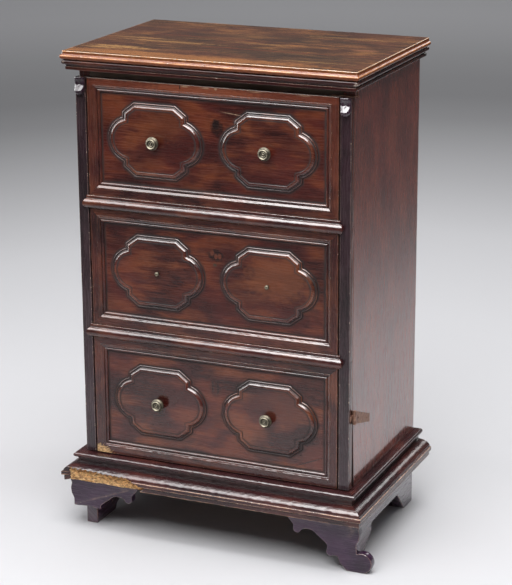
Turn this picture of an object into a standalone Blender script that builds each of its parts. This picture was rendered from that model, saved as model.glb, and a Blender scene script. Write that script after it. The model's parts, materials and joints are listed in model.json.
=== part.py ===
"""Side cabinet: a walnut cabinet on bracket feet, its one door dressed as three drawers.

Metres, +Z up. The front faces -Y and the door hangs on the right (+X). Pieces are drawn in the
cabinet's own frame: x = 0 in the middle of the carcass, y = 0 at the front edges of the side
boards, z = 0 on the floor. The root empty then centres the whole on the origin.
"""

import math

import bmesh
import bpy
from mathutils import Matrix, Vector

# Clearances
SEAT = 0.0003               # left between pieces that touch
PIN_PLAY = 0.0003           # around a pin or shank in its hole

# Carcass
BODY_WIDTH = 0.500          # over the side boards, and the door's width
BODY_DEPTH = 0.319          # side boards, front edge to back edge
SIDE_THICK = 0.020
BOTTOM_THICK = 0.018
BACK_THICK = 0.012
RAIL_THICK = 0.020          # rail behind the cornice
RAIL_LAP = 0.0095           # how far that rail reaches down behind the door
SHELF_THICK = 0.016
SHELF_LEVEL = 0.330         # shelf's underside above the side boards' foot
SHELF_SETBACK = 0.020
CLEAT_SIZE = 0.018
WEAR_DEPTH = 0.009          # right side board, worn back at the foot of its front edge
WEAR_HEIGHT = 0.144

# Heights from the floor up
FOOT_HEIGHT = 0.0887
PLINTH_HEIGHT = 0.041
BEAD_HEIGHT = 0.0082
DOOR_GAP_BELOW = 0.002
DOOR_HEIGHT = 0.675
DOOR_GAP_ABOVE = 0.013
CORNICE_HEIGHT = 0.0177
TOP_THICK = 0.0145

# Overhangs, measured out from the side boards and from the door's stiles
TOP_NOSE = 0.0195
CORNICE_NOSE = 0.0165
CORNICE_FOOT = 0.0115
BEAD_NOSE = 0.018
PLINTH_NOSE = 0.035
PLINTH_FASCIA = 0.031
PLINTH_NECK = 0.012
BASE_INSET = 0.025          # how far the base mouldings reach in under the carcass
PLINTH_BACK_THICK = 0.020

# Break along the left part of the front plinth
BREAK_RUN = 0.163           # from the left mitre to where the break runs out
BREAK_HEIGHT = 0.024
BREAK_FACE = 0.022          # overhang that is left at the break

# Door
DOOR_GAP = 0.0003           # behind the door
PLANK_THICK = 0.010
FACING_THICK = 0.0045       # stiles and drawer borders
STILE_WIDTH = 0.0185
STILE_GAP = 0.003           # dark line between stile and drawer
BORDER_WIDTH = 0.012        # flat part of a drawer frame
FRAME_WIDTH = 0.0235        # border and moulding together
BOTTOM_SHARE = 0.3434       # of the height that the dividers leave
MIDDLE_SHARE = 0.3323
DIVIDER_HEIGHT = 0.023
DIVIDER_FILLET = 0.005
DIVIDER_RISE = 0.0085       # divider's bead in front of the stiles
DIVIDER_LAP = 0.0075        # divider's point over the stile
BATTEN_WIDTH = 0.040
BATTEN_THICK = 0.014
BATTEN_PLACE = 0.150        # batten's middle from the door's middle
BATTEN_MARGIN = 0.022

# Cartouches, shares of their own half width or half height
CARTOUCHE_MARGIN = 0.0135   # to the frame at the side
CARTOUCHE_LEDGE = 0.0138    # to the frame above and below, in the lowest drawer front
CARTOUCHE_SPACE = 0.031     # between the two of a pair
FLAT_SHARE = 0.432          # half of the straight top
SHOULDER_SHARE = 0.682      # where the slope ends and the lobe begins
SLOPE_SHARE = 0.741
LOBE_WIDTH_SHARE = 0.4545
LOBE_HEIGHT_SHARE = 0.620
CARTOUCHE_BAND = 0.0110     # moulded edge round the raised flat
CARTOUCHE_RISE = 0.0050
CARTOUCHE_SINK = 0.0005     # the flat below the edge's lip

# Consoles at the stile tops
CONSOLE_HEIGHT = 0.0305
CONSOLE_RISE = 0.011

# Knobs
KNOB_SHIFT = 0.0015         # knob in from the cartouche's centre
KNOB_RADIUS = 0.0115
KNOB_REACH = 0.018          # in front of the cartouche's flat
KNOB_RIM = 0.0078           # rim of the knob's front disc
KNOB_COLLAR = 0.0058
SHANK_RADIUS = 0.0024
STUB_RADIUS = 0.0036
STUB_REACH = 0.005

# Front brackets
BRACKET_THICK = 0.016
BRACKET_OVERHANG = 0.016
BRACKET_WING = 0.107        # from the side board's face in to the wing's tip
INNER_LOBE_RADIUS = 0.0075
OUTER_LOBE_RADIUS = 0.008
TOE_RADIUS = 0.018
TOE_PLACE = 0.031           # toe's centre out from the side board's face
TOE_BREAK = 0.037           # height of the left bracket's broken edge

# Side brackets
SIDE_BRACKET_THICK = 0.021
SIDE_BRACKET_OVERHANG = 0.004
SIDE_BRACKET_END = 0.014    # short of the carcass back
FRONT_FOOT_SOLE = 0.072
REAR_FOOT_SOLE = 0.043
APRON_HEIGHT = 0.041        # clear height under the apron
FOOT_BLOCK_WIDTH = 0.040
FOOT_BLOCK_DEPTH = 0.042

# Hinge
HINGE_OFFSET = 0.004        # axis out from the side board's face
HINGE_LEVEL = 0.1275        # hinge's middle above the door's foot
HINGE_HEIGHT = 0.024
KNUCKLE_RADIUS = 0.003
PIN_RADIUS = 0.0013
STRAP_LENGTH = 0.078
STRAP_THICK = 0.002
STRAP_TIP = 0.015           # strap's height at its far end
STRAP_DROP = 0.0265         # how far the far end hangs lower
LEAF_THICK = 0.0014
LEAF_LENGTH = 0.0125
NAIL_SHANK = 0.001
NAIL_HEAD = 0.0024
NAIL_LENGTH = 0.012
PIVOT_THICK = 0.0015
PIVOT_LENGTH = 0.038
PIVOT_WIDTH = 0.007
PIVOT_ENTRY = 0.008         # pivot pin inside the cornice

ROUND_STEPS = 28
SMALL_STEPS = 14

FINISHES = {
    "walnut": ((0.118, 0.047, 0.024), 0.32, 0.0),
    "walnut_dark": ((0.060, 0.028, 0.024), 0.36, 0.0),
    "walnut_top": ((0.190, 0.082, 0.034), 0.34, 0.0),
    "inner_wood": ((0.230, 0.140, 0.075), 0.65, 0.0),
    "brass": ((0.240, 0.210, 0.130), 0.38, 1.0),
    "iron": ((0.190, 0.085, 0.050), 0.55, 0.9),
}

# Places that follow from the sizes above
HALF = BODY_WIDTH / 2
INNER = HALF - SIDE_THICK - SEAT
PLANK_BACK = -DOOR_GAP
PLANK_FACE = PLANK_BACK - PLANK_THICK
FACING_BACK = PLANK_FACE - SEAT
CARTOUCHE_FACE = FACING_BACK - CARTOUCHE_RISE + CARTOUCHE_SINK
SHANK_DEPTH = PLANK_BACK - CARTOUCHE_FACE
FRONT = FACING_BACK - FACING_THICK
PLINTH_BOTTOM = FOOT_HEIGHT + SEAT
PLINTH_TOP = PLINTH_BOTTOM + PLINTH_HEIGHT
BEAD_BOTTOM = PLINTH_TOP + SEAT
BEAD_TOP = BEAD_BOTTOM + BEAD_HEIGHT
CARCASS_FOOT = BEAD_TOP + SEAT
DOOR_BOTTOM = BEAD_TOP + DOOR_GAP_BELOW
DOOR_TOP = DOOR_BOTTOM + DOOR_HEIGHT
CORNICE_BOTTOM = DOOR_TOP + DOOR_GAP_ABOVE
CORNICE_TOP = CORNICE_BOTTOM + CORNICE_HEIGHT
TOP_BOTTOM = CORNICE_TOP + SEAT
DRAWER_STACK = DOOR_HEIGHT - 2 * DIVIDER_HEIGHT
LOWER_DIVIDER = DOOR_BOTTOM + BOTTOM_SHARE * DRAWER_STACK
UPPER_DIVIDER = LOWER_DIVIDER + DIVIDER_HEIGHT + MIDDLE_SHARE * DRAWER_STACK
STILE_INNER = HALF - STILE_WIDTH
FRAME_EDGE = STILE_INNER - STILE_GAP
BACK_FACE = BODY_DEPTH - BACK_THICK - SEAT
HINGE_X = HALF + HINGE_OFFSET
HINGE_Z = DOOR_BOTTOM + HINGE_LEVEL
MITRE = SEAT / math.sqrt(2)
LEFT_REACH = -HALF - PLINTH_NOSE
RIGHT_REACH = HALF + max(PLINTH_NOSE, TOE_PLACE + TOE_RADIUS)
FRONT_REACH = FRONT - PLINTH_NOSE
DRAWERS = {
    "bottom": (DOOR_BOTTOM, LOWER_DIVIDER - SEAT),
    "middle": (LOWER_DIVIDER + DIVIDER_HEIGHT + SEAT, UPPER_DIVIDER - SEAT),
    "top": (UPPER_DIVIDER + DIVIDER_HEIGHT + SEAT, DOOR_TOP),
}
LOWEST_FRONT = min(high - low for low, high in DRAWERS.values())
HALF_CARTOUCHE = (FRAME_EDGE - FRAME_WIDTH - CARTOUCHE_MARGIN - CARTOUCHE_SPACE / 2) / 2
CARTOUCHE_RAISE = LOWEST_FRONT / 2 - FRAME_WIDTH - CARTOUCHE_LEDGE
CARTOUCHE_PLACE = CARTOUCHE_SPACE / 2 + HALF_CARTOUCHE
KNOB_PLACE = CARTOUCHE_PLACE - KNOB_SHIFT

for leftover in list(bpy.data.objects):
    bpy.data.objects.remove(leftover)

PARTS = bpy.data.collections.new("side_cabinet")
CUTTERS = bpy.data.collections.new("cutters")
bpy.context.scene.collection.children.link(PARTS)
bpy.context.scene.collection.children.link(CUTTERS)

root = bpy.data.objects.new("cabinet", None)
root.location = (-(LEFT_REACH + RIGHT_REACH) / 2, -(FRONT_REACH + BODY_DEPTH) / 2, 0.0)
PARTS.objects.link(root)
door = bpy.data.objects.new("door", None)
door.parent = root
door.location = (HINGE_X, 0.0, 0.0)
PARTS.objects.link(door)
BODIES = {"carcass": (root, Vector((0.0, 0.0, 0.0))), "door": (door, -Vector(door.location))}

# Planes for outlines: FRONT_PLANE draws (x, z), SIDE_PLANE draws (y, z)
FRONT_PLANE = Matrix.Rotation(math.pi / 2, 4, "X")
SIDE_PLANE = Matrix(((0, 0, 1, 0), (1, 0, 0, 0), (0, 1, 0, 0), (0, 0, 0, 1)))


def arc(centre, radii, start, end, steps):
    """Points of an elliptic arc from one angle to another, in degrees."""
    points = []
    for step in range(steps + 1):
        angle = math.radians(start + (end - start) * step / steps)
        points.append((centre[0] + radii[0] * math.cos(angle),
                       centre[1] + radii[1] * math.sin(angle)))
    return points


def finish_material(name, finish):
    """A material of its own for one piece."""
    colour, roughness, metallic = FINISHES[finish]
    material = bpy.data.materials.new(name + "_finish")
    material.use_nodes = True
    shader = material.node_tree.nodes["Principled BSDF"]
    shader.inputs["Base Color"].default_value = (*colour, 1.0)
    shader.inputs["Roughness"].default_value = roughness
    shader.inputs["Metallic"].default_value = metallic
    return material


def place(name, mesh, body):
    """An object for a mesh that is drawn in the cabinet's frame, riding on its body."""
    piece = bpy.data.objects.new(name, mesh)
    piece.parent, piece.location = BODIES[body]
    return piece


def add_piece(name, mesh, body, finish):
    """One named piece of the cabinet."""
    piece = place(name, mesh, body)
    mesh.materials.append(finish_material(name, finish))
    PARTS.objects.link(piece)
    return piece


def shape_with(piece, label, mesh, operation, body):
    """Cut a piece with a tool shape, join the two, or keep what they share."""
    tool = place(piece.name + "_" + label, mesh, body)
    tool.hide_render = True
    tool.display_type = "WIRE"
    CUTTERS.objects.link(tool)
    change = piece.modifiers.new(label, "BOOLEAN")
    change.operation = operation
    change.solver = "EXACT"
    change.object = tool


def mesh_from(name, shape):
    """Close a bmesh into a mesh with outward normals."""
    bmesh.ops.remove_doubles(shape, verts=shape.verts, dist=0.000001)
    bmesh.ops.recalc_face_normals(shape, faces=shape.faces)
    mesh = bpy.data.meshes.new(name)
    shape.to_mesh(mesh)
    shape.free()
    return mesh


def box_mesh(name, low, high):
    """A box between two corners."""
    low, high = Vector(low), Vector(high)
    shape = bmesh.new()
    bmesh.ops.create_cube(shape, size=1.0)
    bmesh.ops.scale(shape, vec=high - low, verts=shape.verts)
    bmesh.ops.translate(shape, vec=(low + high) / 2, verts=shape.verts)
    return mesh_from(name, shape)


def rod_mesh(name, centre, radius, length, axis, steps=SMALL_STEPS):
    """A cylinder about one axis, its centre given."""
    turn = {"X": Matrix.Rotation(math.pi / 2, 4, "Y"), "Y": FRONT_PLANE, "Z": Matrix.Identity(4)}
    shape = bmesh.new()
    bmesh.ops.create_cone(shape, cap_ends=True, segments=steps, radius1=radius, radius2=radius,
                          depth=length, matrix=Matrix.Translation(centre) @ turn[axis])
    return mesh_from(name, shape)


def board_mesh(name, outline, plane, near, far):
    """A board sawn to an outline, between two places across its plane."""
    curve = bpy.data.curves.new(name, "CURVE")
    curve.dimensions = "2D"
    curve.fill_mode = "BOTH"
    curve.extrude = abs(far - near) / 2
    spline = curve.splines.new("POLY")
    spline.points.add(len(outline) - 1)
    for point, (across, up) in zip(spline.points, outline):
        point.co = (across, up, 0.0, 1.0)
    spline.use_cyclic_u = True
    holder = bpy.data.objects.new(name + "_outline", curve)
    PARTS.objects.link(holder)
    bpy.context.view_layer.update()
    graph = bpy.context.evaluated_depsgraph_get()
    flat = bpy.data.meshes.new_from_object(holder.evaluated_get(graph))
    bpy.data.objects.remove(holder)
    middle = (near + far) / 2
    shift = Vector((0.0, middle, 0.0)) if plane is FRONT_PLANE else Vector((middle, 0.0, 0.0))
    flat.transform(Matrix.Translation(shift) @ plane)
    shape = bmesh.new()
    shape.from_mesh(flat)
    bpy.data.meshes.remove(flat)
    return mesh_from(name, shape)


def carried_mesh(name, stations, profile, closed_path=False, closed_profile=True, bent_end=False):
    """A profile carried through stations; each station turns (out, up) into a place.

    A bent end has its flat inner part, between the first and last two points, as a face of its own.
    """
    shape = bmesh.new()
    rings = [[shape.verts.new(station(out, up)) for out, up in profile] for station in stations]
    count = len(profile)
    spans = list(zip(rings, rings[1:]))
    if closed_path:
        spans.append((rings[-1], rings[0]))
    sides = count if closed_profile else count - 1
    for first, second in spans:
        for side in range(sides):
            following = (side + 1) % count
            shape.faces.new((first[side], first[following], second[following], second[side]))
    if not closed_path:
        for ring in (rings[0], rings[-1]):
            shape.faces.new(ring[1:-1] if bent_end else ring)
            if bent_end:
                shape.faces.new(ring[:2] + ring[-2:])
    if not closed_profile:
        shape.faces.new([ring[0] for ring in rings])
        shape.faces.new([ring[-1] for ring in rings])
    return mesh_from(name, shape)


def turned_piece(name, profile, place_at, body, finish):
    """A turned piece: a profile of (radius, reach), screwed about its axis, facing forward."""
    shape = bmesh.new()
    points = [shape.verts.new((radius, 0.0, reach)) for radius, reach in profile]
    for first, second in zip(points, points[1:]):
        shape.edges.new((first, second))
    mesh = bpy.data.meshes.new(name)
    shape.to_mesh(mesh)
    shape.free()
    piece = add_piece(name, mesh, body, finish)
    piece.location += Vector(place_at)
    piece.rotation_euler = (math.pi / 2, 0.0, 0.0)
    screw = piece.modifiers.new("turn", "SCREW")
    screw.axis = "Z"
    screw.steps = ROUND_STEPS
    screw.render_steps = ROUND_STEPS
    screw.use_merge_vertices = True
    screw.merge_threshold = 0.00002
    return piece


def box(name, low, high, body, finish):
    return add_piece(name, box_mesh(name, low, high), body, finish)


def mirrored(outline):
    return [(-across, up) for across, up in reversed(outline)]


# Base and cornice mouldings, each profile as (overhang, height)
plinth_profile = [(-BASE_INSET, 0.0), (PLINTH_FASCIA, 0.0), (PLINTH_FASCIA, 0.0095),
                  (PLINTH_NOSE, 0.0103), (PLINTH_NOSE, 0.0172)]
plinth_profile += arc((PLINTH_NECK, 0.018), (0.020, 0.0115), 0, 90, 7)
plinth_profile += [(PLINTH_NECK - 0.002, 0.0305), (PLINTH_NECK - 0.0022, 0.034),
                   (PLINTH_NECK - 0.001, 0.038), (PLINTH_NECK + 0.001, PLINTH_HEIGHT),
                   (-BASE_INSET, PLINTH_HEIGHT)]
bead_round = BEAD_HEIGHT / 2
bead_profile = [(-BASE_INSET, 0.0)]
bead_profile += arc((BEAD_NOSE - bead_round, bead_round), (bead_round, bead_round), -90, 90, 8)
bead_profile += [(-BASE_INSET, BEAD_HEIGHT)]
cornice_round = 0.0043
cornice_face = [(CORNICE_FOOT - 0.001, 0.0), (CORNICE_FOOT, 0.001), (CORNICE_FOOT, 0.0055),
                (CORNICE_FOOT - 0.001, 0.0065), (CORNICE_NOSE - 0.004, 0.0085)]
cornice_face += arc((CORNICE_NOSE - 0.004, CORNICE_HEIGHT - cornice_round),
                    (0.004, cornice_round), -90, 90, 8)
cornice_depth = -FRONT - SEAT
cornice_side_profile = [(SEAT, 0.0)] + cornice_face + [(SEAT, CORNICE_HEIGHT)]
cornice_front_profile = [(-cornice_depth, 0.0)] + cornice_side_profile
cornice_front_profile += [(-cornice_depth, CORNICE_HEIGHT)]


def front_moulding(name, profile, bottom, finish):
    """A moulding across the front, mitred at both ends outside the carcass."""
    def end(sign):
        return lambda out, up: (sign * (HALF + out - MITRE), FRONT - out, bottom + up)
    mesh = carried_mesh(name, [end(-1), end(1)], profile)
    return add_piece(name, mesh, "carcass", finish)


def side_moulding(name, profile, bottom, sign, finish):
    """A moulding down one side, mitred at the front and sawn square at the back."""
    def mitre(out, up):
        return (sign * (HALF + out), FRONT - out + MITRE, bottom + up)

    def back(out, up):
        return (sign * (HALF + out), BODY_DEPTH, bottom + up)
    mesh = carried_mesh(name, [mitre, back], profile)
    return add_piece(name, mesh, "carcass", finish)


def cornice_end(sign):
    """The front cornice is mitred outside the carcass and sawn square in front of it."""
    return lambda out, up: (sign * (HALF + max(out, SEAT) - MITRE), FRONT - out,
                            CORNICE_BOTTOM + up)


plinth_front = front_moulding("plinth_front", plinth_profile, PLINTH_BOTTOM, "walnut")
break_left = -HALF - PLINTH_NOSE - 0.010
break_right = -HALF - PLINTH_NOSE + BREAK_RUN
break_low = PLINTH_BOTTOM - 0.004
break_high = PLINTH_BOTTOM + BREAK_HEIGHT
break_outline = [(break_left, break_low), (break_right - 0.014, break_low),
                 (break_right, PLINTH_BOTTOM + 0.008),
                 (break_right - 0.034, break_high - 0.004), (break_left, break_high)]
break_mesh = board_mesh("plinth_break", break_outline, FRONT_PLANE,
                        FRONT - BREAK_FACE, FRONT - PLINTH_NOSE - 0.010)
shape_with(plinth_front, "break", break_mesh, "DIFFERENCE", "carcass")
front_moulding("base_bead_front", bead_profile, BEAD_BOTTOM, "walnut")
cornice_mesh = carried_mesh("cornice_front", [cornice_end(-1), cornice_end(1)],
                            cornice_front_profile, bent_end=True)
add_piece("cornice_front", cornice_mesh, "carcass", "walnut")
for side, sign in (("left", -1), ("right", 1)):
    side_moulding("plinth_" + side, plinth_profile, PLINTH_BOTTOM, sign, "walnut")
    side_moulding("base_bead_" + side, bead_profile, BEAD_BOTTOM, sign, "walnut")
    cornice = side_moulding("cornice_" + side, cornice_side_profile, CORNICE_BOTTOM, sign, "walnut")
    if side == "right":
        socket = rod_mesh("pivot_socket", (HINGE_X, 0.0, CORNICE_BOTTOM),
                          PIN_RADIUS + PIN_PLAY, 2 * (PIVOT_ENTRY + SEAT), "Z")
        shape_with(cornice, "socket", socket, "DIFFERENCE", "carcass")
base_inner = HALF - BASE_INSET - SEAT
box("plinth_back", (-base_inner, BODY_DEPTH - PLINTH_BACK_THICK, PLINTH_BOTTOM),
    (base_inner, BODY_DEPTH, BEAD_TOP), "carcass", "inner_wood")

# Top board with its rounded edge; the back edge is plain
top_profile = [(TOP_NOSE - 0.0045, 0.0), (TOP_NOSE - 0.0015, 0.0018), (TOP_NOSE, 0.005),
               (TOP_NOSE, 0.0085), (TOP_NOSE - 0.001, 0.012), (TOP_NOSE - 0.0025, TOP_THICK)]
top_mesh = carried_mesh("top_board", [
    lambda out, up: (-HALF - out, FRONT - out, TOP_BOTTOM + up),
    lambda out, up: (HALF + out, FRONT - out, TOP_BOTTOM + up),
    lambda out, up: (HALF + out, BODY_DEPTH, TOP_BOTTOM + up),
    lambda out, up: (-HALF - out, BODY_DEPTH, TOP_BOTTOM + up),
], top_profile, closed_path=True, closed_profile=False)
add_piece("top_board", top_mesh, "carcass", "walnut_top")

# Carcass boards
nail_drop = STRAP_DROP / STRAP_LENGTH
NAILS = {"front": 0.022, "rear": 0.062}
box("side_left", (-HALF, 0.0, CARCASS_FOOT), (-HALF + SIDE_THICK, BODY_DEPTH, CORNICE_TOP),
    "carcass", "walnut")
worn_outline = [(WEAR_DEPTH, CARCASS_FOOT), (BODY_DEPTH, CARCASS_FOOT), (BODY_DEPTH, CORNICE_TOP),
                (0.0, CORNICE_TOP), (0.0, CARCASS_FOOT + WEAR_HEIGHT)]
side_right = add_piece("side_right", board_mesh("side_right", worn_outline, SIDE_PLANE,
                                                HALF - SIDE_THICK, HALF), "carcass", "walnut")
box("bottom_board", (-INNER, 0.0, CARCASS_FOOT), (INNER, BODY_DEPTH, CARCASS_FOOT + BOTTOM_THICK),
    "carcass", "inner_wood")
rail_bottom = DOOR_TOP - RAIL_LAP
box("top_rail", (-INNER, 0.0, rail_bottom), (INNER, RAIL_THICK, CORNICE_TOP),
    "carcass", "inner_wood")
back_foot = CARCASS_FOOT + BOTTOM_THICK + SEAT
back_share = (CORNICE_TOP - back_foot + SEAT) / 3
for place_in, level in enumerate(("lower", "middle", "upper")):
    start = back_foot + place_in * back_share
    box("back_board_" + level, (-INNER, BACK_FACE + SEAT, start),
        (INNER, BODY_DEPTH, start + back_share - SEAT), "carcass", "inner_wood")
shelf_foot = CARCASS_FOOT + SHELF_LEVEL
box("shelf", (-INNER, SHELF_SETBACK, shelf_foot), (INNER, BACK_FACE, shelf_foot + SHELF_THICK),
    "carcass", "inner_wood")
for side, sign in (("left", -1), ("right", 1)):
    edges = sorted((sign * INNER, sign * (INNER - CLEAT_SIZE)))
    box("shelf_cleat_" + side, (edges[0], SHELF_SETBACK, shelf_foot - SEAT - CLEAT_SIZE),
        (edges[1], BACK_FACE, shelf_foot - SEAT), "carcass", "inner_wood")

# Front brackets, drawn as (out from the side board's face, height)
wing = -BRACKET_WING
bracket = [(wing, FOOT_HEIGHT), (wing, FOOT_HEIGHT - 0.0047), (wing + 0.006, FOOT_HEIGHT - 0.012),
           (wing + 0.012, FOOT_HEIGHT - 0.0187)]
inner_lobe = (wing + 0.019, FOOT_HEIGHT - 0.0257)
bracket += arc(inner_lobe, (INNER_LOBE_RADIUS, INNER_LOBE_RADIUS), 170, 350, 8)
bracket += [(wing + 0.033, 0.0645), (wing + 0.0415, 0.0655), (wing + 0.049, 0.0632),
            (wing + 0.0565, 0.057), (wing + 0.070, 0.047), (wing + 0.074, 0.042)]
bracket += arc((wing + 0.081, 0.0305), (OUTER_LOBE_RADIUS, OUTER_LOBE_RADIUS), 150, 310, 8)
bracket += [(wing + 0.094, 0.024), (wing + 0.0965, 0.017), (wing + 0.100, 0.011),
            (wing + 0.105, 0.006), (wing + 0.1115, 0.0)]
bracket += arc((TOE_PLACE, TOE_RADIUS), (TOE_RADIUS, TOE_RADIUS), -90, 120, 14)
bracket += [(TOE_PLACE - 0.0092, 0.038), (TOE_PLACE - 0.0102, 0.050), (TOE_PLACE - 0.0055, 0.059),
            (TOE_PLACE - 0.004, 0.069), (TOE_PLACE - 0.0065, 0.079),
            (TOE_PLACE - 0.0025, FOOT_HEIGHT)]
right_outline = [(HALF + out, up) for out, up in bracket]
bracket_face = FRONT - BRACKET_OVERHANG
bracket_back = bracket_face + BRACKET_THICK
add_piece("front_bracket_right", board_mesh("front_bracket_right", right_outline, FRONT_PLANE,
                                            bracket_face, bracket_back), "carcass", "walnut_dark")
bracket_left = add_piece("front_bracket_left",
                         board_mesh("front_bracket_left", mirrored(right_outline), FRONT_PLANE,
                                    bracket_face, bracket_back), "carcass", "walnut_dark")
broken_off = [(-RIGHT_REACH - 0.01, -0.01), (-HALF + 0.060, -0.01),
              (-HALF + 0.060, TOE_BREAK - 0.0015), (-HALF + 0.012, TOE_BREAK + 0.0015),
              (-RIGHT_REACH - 0.01, TOE_BREAK)]
broken_mesh = board_mesh("broken_toe", broken_off, FRONT_PLANE,
                         bracket_face - 0.01, bracket_back + 0.01)
shape_with(bracket_left, "broken_toe", broken_mesh, "DIFFERENCE", "carcass")

# Side brackets, drawn as (depth, height), and the blocks behind the rear feet
foot_front = bracket_back + SEAT
foot_rear = BODY_DEPTH - SIDE_BRACKET_END
sole_end = foot_front + FRONT_FOOT_SOLE
rear_start = foot_rear - REAR_FOOT_SOLE
side_outline = [(foot_front, FOOT_HEIGHT), (foot_front, 0.0), (sole_end, 0.0),
                (sole_end + 0.005, 0.010), (sole_end + 0.019, 0.016), (sole_end + 0.031, 0.025),
                (sole_end + 0.034, APRON_HEIGHT - 0.001), (sole_end + 0.038, APRON_HEIGHT),
                (rear_start - 0.040, APRON_HEIGHT), (rear_start - 0.036, APRON_HEIGHT - 0.002),
                (rear_start, 0.0), (foot_rear, 0.0), (foot_rear, FOOT_HEIGHT)]
bracket_outer = HALF + SIDE_BRACKET_OVERHANG
bracket_inner = bracket_outer - SIDE_BRACKET_THICK
for side, sign in (("left", -1), ("right", 1)):
    mesh = board_mesh("side_bracket_" + side, side_outline, SIDE_PLANE,
                      sign * bracket_inner, sign * bracket_outer)
    add_piece("side_bracket_" + side, mesh, "carcass", "walnut_dark")
    edges = sorted((sign * (bracket_inner - SEAT),
                    sign * (bracket_inner - SEAT - FOOT_BLOCK_WIDTH)))
    box("rear_foot_block_" + side, (edges[0], foot_rear - FOOT_BLOCK_DEPTH, 0.0),
        (edges[1], foot_rear, FOOT_HEIGHT), "carcass", "walnut_dark")

# Door planks, their stiles, battens and knob holes
plank_joints = [DOOR_BOTTOM, LOWER_DIVIDER + DIVIDER_HEIGHT / 2,
                UPPER_DIVIDER + DIVIDER_HEIGHT / 2, DOOR_TOP]
for place_in, level in enumerate(("bottom", "middle", "top")):
    low = plank_joints[place_in] + (SEAT / 2 if place_in else 0.0)
    high = plank_joints[place_in + 1] - (SEAT / 2 if place_in < 2 else 0.0)
    plank = box("door_plank_" + level, (-HALF, PLANK_FACE, low), (HALF, PLANK_BACK, high),
                "door", "walnut")
    knob_height = sum(DRAWERS[level]) / 2
    for side, sign in (("left", -1), ("right", 1)):
        hole = rod_mesh("knob_hole", (sign * KNOB_PLACE, PLANK_FACE + PLANK_THICK / 2, knob_height),
                        SHANK_RADIUS + PIN_PLAY, 2 * PLANK_THICK, "Y")
        shape_with(plank, "hole_" + side, hole, "DIFFERENCE", "door")
for side, sign in (("left", -1), ("right", 1)):
    edges = sorted((sign * STILE_INNER, sign * HALF))
    box("door_stile_" + side, (edges[0], FRONT, DOOR_BOTTOM), (edges[1], FACING_BACK, DOOR_TOP),
        "door", "walnut_dark")
    middle = sign * BATTEN_PLACE
    box("door_batten_" + side,
        (middle - BATTEN_WIDTH / 2, PLANK_BACK + SEAT, DOOR_BOTTOM + BATTEN_MARGIN),
        (middle + BATTEN_WIDTH / 2, PLANK_BACK + SEAT + BATTEN_THICK, DOOR_TOP - BATTEN_MARGIN),
        "door", "inner_wood")

# Drawer frames, drawn as (in from the outer edge, rise from the plank)
frame_profile = [(0.0, 0.0), (0.0, FACING_THICK - 0.0012), (0.0005, FACING_THICK - 0.0003),
                 (0.0015, FACING_THICK), (BORDER_WIDTH, FACING_THICK),
                 (BORDER_WIDTH + 0.0005, FACING_THICK + 0.0006),
                 (BORDER_WIDTH + 0.0018, FACING_THICK + 0.0006),
                 (BORDER_WIDTH + 0.0032, FACING_THICK - 0.0004),
                 (BORDER_WIDTH + 0.0060, FACING_THICK - 0.0019),
                 (BORDER_WIDTH + 0.0066, FACING_THICK - 0.0023)]
frame_profile += arc((FRAME_WIDTH - 0.0027, 0.0002), (0.0024, 0.0030), 150, 10, 6)
frame_profile += [(FRAME_WIDTH, 0.0)]
for level, (low, high) in DRAWERS.items():
    corners = []
    for across, up, edge in ((-1, -1, low), (1, -1, low), (1, 1, high), (-1, 1, high)):
        corners.append(lambda inward, rise, across=across, up=up, edge=edge: (
            across * (FRAME_EDGE - inward), FACING_BACK - rise, edge - up * inward))
    mesh = carried_mesh("drawer_frame_" + level, corners, frame_profile, closed_path=True)
    add_piece("drawer_frame_" + level, mesh, "door", "walnut")

# Cartouches: raised panels with straight top, sloped shoulders, round lobes and moulded edge
lobe_radii = (LOBE_WIDTH_SHARE * HALF_CARTOUCHE, LOBE_HEIGHT_SHARE * CARTOUCHE_RAISE)
lobe_centre = HALF_CARTOUCHE - lobe_radii[0]
shoulder = SHOULDER_SHARE * HALF_CARTOUCHE
lobe_angle = math.degrees(math.acos((shoulder - lobe_centre) / lobe_radii[0]))
quarter = [(FLAT_SHARE * HALF_CARTOUCHE, CARTOUCHE_RAISE), (shoulder, SLOPE_SHARE * CARTOUCHE_RAISE)]
lobe = arc((lobe_centre, 0.0), lobe_radii, lobe_angle, -lobe_angle, 12)
right_half = quarter + lobe + [(across, -up) for across, up in reversed(quarter)]
cartouche_outline = right_half + [(-across, -up) for across, up in right_half]
edge_profile = [(0.0, 0.0), (0.0, 0.0010), (0.0010, 0.0013), (0.0016, 0.0010), (0.0040, 0.0020),
                (0.0065, 0.0036), (0.0085, CARTOUCHE_RISE - 0.0003),
                (CARTOUCHE_BAND - 0.0012, CARTOUCHE_RISE), (CARTOUCHE_BAND - 0.0004, CARTOUCHE_RISE),
                (CARTOUCHE_BAND, CARTOUCHE_RISE - CARTOUCHE_SINK)]


def mitred_stations(outline, centre):
    """Stations round a clockwise outline, each moving its profile in along the mitre."""
    stations = []
    count = len(outline)
    for index, (across, up) in enumerate(outline):
        before, after = outline[index - 1], outline[(index + 1) % count]
        ahead = Vector((after[0] - across, after[1] - up)).normalized()
        behind = Vector((across - before[0], up - before[1])).normalized()
        normal_in = Vector((ahead.y + behind.y, -ahead.x - behind.x)).normalized()
        stretch = 1.0 / normal_in.dot(Vector((ahead.y, -ahead.x)))
        inward = normal_in * stretch
        stations.append(lambda step, rise, across=across, up=up, inward=inward: (
            centre[0] + across + inward.x * step, FACING_BACK - rise,
            centre[1] + up + inward.y * step))
    return stations


def raised_mesh(name, stations, profile):
    """A raised panel: each point of its edge profile becomes a ring through all the stations."""
    rings = []
    for step, rise in profile:
        rings.append(lambda corner, _, step=step, rise=rise: stations[corner](step, rise))
    return carried_mesh(name, rings, [(corner, 0) for corner in range(len(stations))])


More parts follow.
